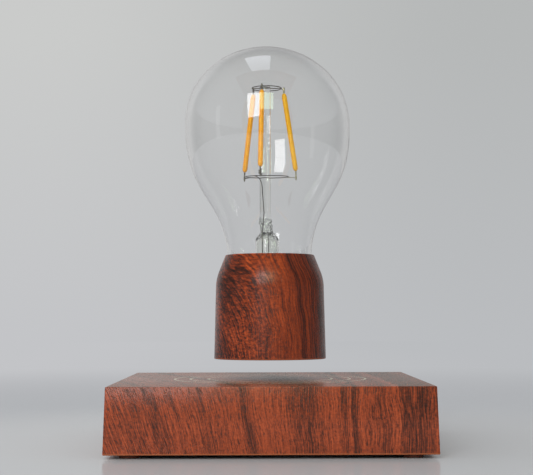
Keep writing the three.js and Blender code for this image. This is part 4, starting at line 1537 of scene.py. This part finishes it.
    def build_strips(self) -> list[bpy.types.Object]:
        """Makes the three coated strips with their tabs and crimps.

        Returns:
            The three pieces, each with the coat in its first material and the metal in its second.
        """
        pieces = []
        for name, angle, angle_high in self.strips:
            low = self.place(self.strip_low[0], angle, self.strip_low[1])
            high = self.place(self.strip_high[0], angle_high, self.strip_high[1])
            along = (high - low).normalized()
            length = (high - low).length

            def coat(work: bmesh.types.BMesh) -> None:
                """The coated length, drawn in at both ends."""
                drawn_in, steps = self.coat_end[-1][0], 20
                line = list(self.coat_end)
                line += [(drawn_in + (length - 2 * drawn_in) * i / steps, 1.0) for i in range(1, steps)]
                line += [(length - at, share) for at, share in reversed(self.coat_end)]
                radii = [self.strip_radius * share * (
                    1 + self.coat_swell_share * math.sin(at * self.coat_swell_rate + angle))
                    for at, share in line]
                add_tube(work, [low + along * at for at, _ in line], radii, sides=20)

            def metal(work: bmesh.types.BMesh) -> None:
                """The tabs, and what ties them to the ring wires."""
                joints = []
                ends = ((low, along, angle, self.strip_low[0], self.lower_ring, self.low_tab_radii),
                        (high, -along, angle_high, self.strip_high[0], self.upper_ring, self.high_tab_radii))
                for (end, inward, at, out, ring, radii), reach, tail in zip(
                        ends, self.tab_reach, self.tab_tail):
                    joint = self.place(out + reach, at, ring[1])
                    joints.append(joint)
                    add_tube(work, [end + inward * self.tab_lap, (end + joint) / 2, joint,
                                    joint + Vector((0, 0, tail))], radii, sides=10)
                    if name == "right":
                        # Thin bright tongues that reach the ring itself
                        tongue = self.place(ring[0] - self.tongue_lap, at, ring[1])
                        add_tube(work, [joint, tongue], self.spur_radius, sides=8)
                if name == "middle":
                    # Two turns of wire tie its lower tab to the ring
                    radius, turn, rise = self.tie_radius, self.tie_turn, self.tie_rise
                    turns = [joints[0] + Vector((
                        radius * math.cos(turn * k), radius * math.sin(turn * k), rise * (k - 2)))
                        for k in range(self.tie_steps + 1)]
                    add_tube(work, turns, self.tie_wire_radius, sides=8)

            def strip(work: bmesh.types.BMesh) -> None:
                """Coat and metal, each in its own material."""
                coat(work)
                split = len(work.faces)
                metal(work)
                work.faces.ensure_lookup_table()
                for face in work.faces[split:]:
                    face.material_index = 1

            pieces.append(add_piece(
                f"light_strip_{name}", strip, "bulb", f"filament_{name}", smooth_deg=50.0))
        return pieces

    def dress(
        self, stem: bpy.types.Object, wires: Sequence[bpy.types.Object], strips: Sequence[bpy.types.Object],
        dresser: Dresser,
    ) -> None:
        """Gives the stem, the wires and the strips their materials.

        Args:
            stem: The glass stem.
            wires: The ring and lead-in wires.
            strips: The light strips: right, middle and left.
            dresser: Holds the materials.
        """
        for glass in (STEM_GLASS, PINCH_GLASS):
            stem.data.materials.append(dresser.material(glass))
        for wire in wires:
            wire.data.materials.append(dresser.material(SUPPORT_WIRE))
        for strip, coat, metal in zip(strips, (STRIP_COAT_RIGHT, STRIP_COAT, STRIP_COAT),
                                      (STRIP_TAB, STRIP_CRIMP, STRIP_CRIMP)):
            strip.data.materials.append(dresser.material(coat))
            strip.data.materials.append(dresser.material(metal))


@dataclass(frozen=True)
class Softbox:
    """A rectangular lamp that faces the bulb."""

    name: str
    azimuth_deg: float
    elevation_deg: float
    distance_m: float
    width_m: float
    height_m: float
    radiance: float
    colour: str = "#ffffff"
    roll_deg: float = 0.0


@dataclass
class Studio:
    """Pale floor with a round wall about it, soft lamps and the camera."""

    target: tuple[float, float, float] = (0.0, 0.0, 0.1)
    floor_radius: float = 2.2
    wall_foot: float = -0.01
    wall_top: float = 3.5
    sides: int = 96
    # Where the floor goes over into the wall's colour, and how far out the left to right grading runs
    blend_from: float = 0.2
    blend_to: float = 0.85
    floor_half: float = 0.3
    wall_half: float = 0.5
    # Height from where the wall has its upper colours
    grade_height: float = 0.65
    # Left and right colours of the floor, the wall's foot and the wall higher up
    floor_colours: tuple[str, str] = ("#d2d3d8", "#d1d2d7")
    wall_low: tuple[str, str] = ("#c3c4c7", "#babcbf")
    wall_high: tuple[str, str] = ("#cacbca", "#b6b8b8")
    # Reach of the wax round the lamp: full up to the first, gone at the second
    wax_reach: tuple[float, float] = (0.1, 0.26)
    lamps: tuple[Softbox, ...] = (
        Softbox("window_left", -19.0, 23.5, 1.6, 0.47, 0.82, 5.2, roll_deg=4.0),
        Softbox("window_right", -0.6, 26.4, 1.6, 0.48, 0.7, 3.3, "#d8f4c8"),
        Softbox("ceiling_box", -135.0, 81.9, 1.2, 0.37, 0.74, 1.25, "#f2f6ff"),
        Softbox("side_window", -71.0, 9.0, 1.2, 0.14, 0.5, 0.4))
    # Light of the room by bearing, from the back round by the left, the front and the right
    room_light: tuple[tuple[float, float], ...] = (
        (0.0, 0.75), (0.25, 1.0), (0.45, 1.05), (0.6, 0.85), (0.75, 0.4), (0.88, 0.4), (1.0, 0.75))
    ceiling_light: float = 0.35
    # Between which heights of the direction the walls go over into the ceiling
    light_rise: tuple[float, float] = (0.35, 0.9)
    # The same room as shiny things mirror it: only the backdrop is pale, the rest is dim
    room_mirrored: tuple[tuple[float, float], ...] = (
        (0.0, 0.46), (0.03, 0.6), (0.12, 0.6), (0.16, 0.18), (0.5, 0.12), (0.84, 0.12), (0.88, 0.52),
        (0.94, 0.52), (0.98, 0.42), (1.0, 0.46))
    ceiling_mirrored: float = 0.18
    mirrored_rise: tuple[float, float] = (1.2, 2.8)
    lens_px: float = 1280.5
    camera_mm: tuple[float, float, float] = (-3.2, -542.0, 52.8)
    # Pitch, roll and yaw
    camera_deg: tuple[float, float, float] = (3.543, 0.161, -0.195)

    def build(self) -> None:
        """Makes the floor, the wall, the lamps, the world and the camera."""
        self.build_backdrop()
        for lamp in self.lamps:
            self.build_lamp(lamp)
        self.build_world()
        self.build_camera()

    def build_backdrop(self) -> None:
        """Makes a round floor, and a wall and ceiling round it that add no light and no shadow."""
        reach, foot, top = self.floor_radius / MM, self.wall_foot / MM, self.wall_top / MM
        floor_line = [(0.0, 0.0), (reach, 0.0)]
        wall_line = [(reach, foot), (reach, top), (0.0, top)]
        for name, points, finish, solid in (("studio_floor", floor_line, self.floor_board(), True),
                                            ("studio_wall", wall_line, self.wall_light(), False)):
            mesh = mesh_from(name, lambda work: add_turned(work, points, self.sides, closed=False))
            mesh.shade_smooth()
            mesh.materials.append(finish)
            part = into_scene(name, mesh)
            if not solid:
                part.visible_diffuse = part.visible_shadow = False

    def graded(self, tree: bpy.types.NodeTree, share: Source, colours: tuple[str, str]) -> bpy.types.Node:
        """A colour that runs from left to right."""
        return add_ramp(tree, share, [(at, to_linear(code)) for at, code in zip((0.0, 1.0), colours)])

    def floor_board(self) -> bpy.types.Material:
        """Makes the floor's material: painted board, pale grey and matt, waxed round the lamp.

        Far out it takes the wall's own colour for the camera, through glass too, so no line shows there.

        Returns:
            The finished material.
        """
        shading = Shading("board_painted_satin")
        tree = shading.tree
        across = add_node(tree, "ShaderNodeMapRange", SMOOTH, {
            "Value": shading.parts.outputs["X"], "From Min": -self.floor_half, "From Max": self.floor_half})
        reach = add_node(tree, "ShaderNodeVectorMath", "LENGTH", {0: shading.place})
        # A thin wax of low index mirrors at flat angles and hardly at steep ones
        wax = add_node(tree, "ShaderNodeMapRange", SMOOTH, {
            "Value": reach, "From Min": self.wax_reach[0], "From Max": self.wax_reach[1],
            "To Min": 1.0, "To Max": 0.0})
        shading.set(Base_Color=self.graded(tree, across, self.floor_colours), Roughness=0.7,
                    Specular_IOR_Level=0.0, Coat_Roughness=0.16, Coat_IOR=1.1, Coat_Weight=wax)
        far = add_node(tree, "ShaderNodeMapRange", SMOOTH, {
            "Value": reach, "From Min": self.blend_from, "From Max": self.blend_to})
        path = add_node(tree, "ShaderNodeLightPath")
        looked_at = add_node(tree, "ShaderNodeMath", "MAXIMUM", {
            0: path.outputs["Is Camera Ray"], 1: path.outputs["Is Transmission Ray"]})
        seen = add_node(tree, "ShaderNodeMath", "MULTIPLY", {0: far, 1: looked_at})
        glow = add_node(tree, "ShaderNodeEmission", inputs={
            "Strength": 1.0, "Color": self.graded(tree, across, self.wall_low)})
        shading.surface(add_node(tree, "ShaderNodeMixShader", inputs={0: seen, 1: shading.shader, 2: glow}))
        return shading.material

    def wall_light(self) -> bpy.types.Material:
        """Makes the wall's material: pale grey to the eye, brightest at the upper left.

        In reflections only its rear third is pale and the rest is the dim room that the glass mirrors. A ray
        is taken for a reflection by its Glossy Depth, because one that only passed through clear glass counts
        as a glossy ray too.

        Returns:
            The finished material.
        """
        shading = Shading("backdrop_grey_graded")
        tree = shading.tree
        across = add_node(tree, "ShaderNodeMapRange", SMOOTH, {
            "Value": shading.parts.outputs["X"], "From Min": -self.wall_half, "From Max": self.wall_half})
        height = add_node(tree, "ShaderNodeMapRange", inputs={
            "Value": shading.parts.outputs["Z"], "From Max": self.grade_height})
        to_eye = add_node(tree, "ShaderNodeMix", OF_COLOURS, {
            MIX_SHARE: height, MIX_FIRST: self.graded(tree, across, self.wall_low),
            MIX_SECOND: self.graded(tree, across, self.wall_high)})
        mirrored = add_node(tree, "ShaderNodeMath", "GREATER_THAN", {
            0: add_node(tree, "ShaderNodeLightPath").outputs["Glossy Depth"], 1: 0.5})
        to_gloss = self.room(
            tree, shading.place, self.room_mirrored, self.ceiling_mirrored, self.mirrored_rise)
        colour = add_node(tree, "ShaderNodeMix", OF_COLOURS, {
            MIX_SHARE: mirrored, MIX_FIRST: to_eye, MIX_SECOND: to_gloss})
        shading.surface(add_node(tree, "ShaderNodeEmission", inputs={"Color": colour, "Strength": 1.0}))
        shading.material.cycles.emission_sampling = "NONE"
        return shading.material

    def room(
        self,
        tree: bpy.types.NodeTree,
        direction: Source,
        walls: Sequence[tuple[float, float]],
        ceiling: float,
        rise: tuple[float, float],
    ) -> bpy.types.Node:
        """Adds the grey of a room by direction.

        Args:
            tree: The node tree.
            direction: Where a point lies, from the middle of the room.
            walls: Grey of the walls by bearing.
            ceiling: Grey of the ceiling.
            rise: Heights between which the walls go over into the ceiling.

        Returns:
            The node with the colour.
        """
        parts = add_node(tree, "ShaderNodeSeparateXYZ", inputs={"Vector": direction})
        upness = add_node(tree, "ShaderNodeMapRange", SMOOTH, {
            "Value": parts.outputs["Z"], "From Min": rise[0], "From Max": rise[1]})
        around = add_ramp(tree, bearing(tree, direction), [(at, grey(value)) for at, value in walls], "EASE")
        return add_node(tree, "ShaderNodeMix", OF_COLOURS, {
            MIX_SHARE: upness, MIX_FIRST: around, MIX_SECOND: grey(ceiling)})

    def build_lamp(self, lamp: Softbox) -> None:
        """Makes one lamp; its power follows from its radiance and its area."""
        data = bpy.data.lights.new(lamp.name, "AREA")
        data.shape, data.size, data.size_y = "RECTANGLE", lamp.width_m, lamp.height_m
        data.color = to_linear(lamp.colour)[:3]
        data.energy = lamp.radiance * math.pi * lamp.width_m * lamp.height_m
        lantern = into_scene(lamp.name, data)
        azimuth, elevation = math.radians(lamp.azimuth_deg), math.radians(lamp.elevation_deg)
        away = Vector((math.sin(azimuth) * math.cos(elevation), -math.cos(azimuth) * math.cos(elevation),
                       math.sin(elevation)))
        across = Vector((1, 0, 0)) if away.z > UPRIGHT_FROM else Vector((0, 0, 1)).cross(away)
        upward = away.cross(across).normalized()
        facing = Matrix((upward.cross(away), upward, away)).transposed().to_4x4()
        facing @= Matrix.Rotation(math.radians(lamp.roll_deg), 4, "Z")
        lantern.matrix_world = Matrix.Translation(Vector(self.target) + away * lamp.distance_m) @ facing
        lantern.visible_camera = False

    def build_world(self) -> None:
        """Makes the room's light: a dim ceiling, lighter walls on the left and darker ones on the right."""
        world = bpy.data.worlds.new("room_light")
        world.use_nodes = True
        tree = world.node_tree
        around = add_node(tree, "ShaderNodeTexCoord").outputs["Generated"]
        light = self.room(tree, around, self.room_light, self.ceiling_light, self.light_rise)
        set_socket(tree, tree.nodes["Background"].inputs["Color"], light)
        bpy.context.scene.world = world
        # Shiny surfaces mirror the wall's room and the lamps, and not this light as well
        world.cycles_visibility.glossy = False

    def build_camera(self) -> None:
        """Makes the camera with the photograph's place, direction and lens."""
        data = bpy.data.cameras.new("camera")
        data.sensor_fit = "HORIZONTAL"
        data.sensor_width = 36.0
        data.lens = self.lens_px * data.sensor_width / IMAGE_WIDTH
        data.clip_start, data.clip_end = 0.01, 20.0
        camera = into_scene("camera", data)
        pitch, roll, yaw = (math.radians(a) for a in self.camera_deg)
        aim = Matrix.Rotation(yaw, 4, "Z") @ Matrix.Rotation(pitch, 4, "X") @ Matrix.Rotation(roll, 4, "Y")
        level = Matrix.Rotation(math.pi / 2, 4, "X")
        camera.matrix_world = Matrix.Translation(Vector(self.camera_mm) * MM) @ aim @ level
        bpy.context.scene.camera = camera


def main() -> None:
    """Builds and dresses the lamp, then the studio round it."""
    logging.basicConfig(level=logging.INFO, format="%(name)s: %(message)s")
    bpy.context.scene.view_settings.view_transform = "Standard"
    dresser = Dresser()
    housing = BaseHousing()
    housing.dress(housing.build(), dresser)
    feet = Feet()
    feet.dress(feet.build(), dresser)
    BaseInside().dress(dresser)
    cap = Cap()
    cap.dress(cap.build(), dresser)
    envelope = Envelope()
    envelope.dress(envelope.build(), dresser)
    mount = Mount()
    mount.dress(mount.build_stem(), mount.build_wires(), mount.build_strips(), dresser)
    Studio().build()


if __name__ == "__main__":
    main()
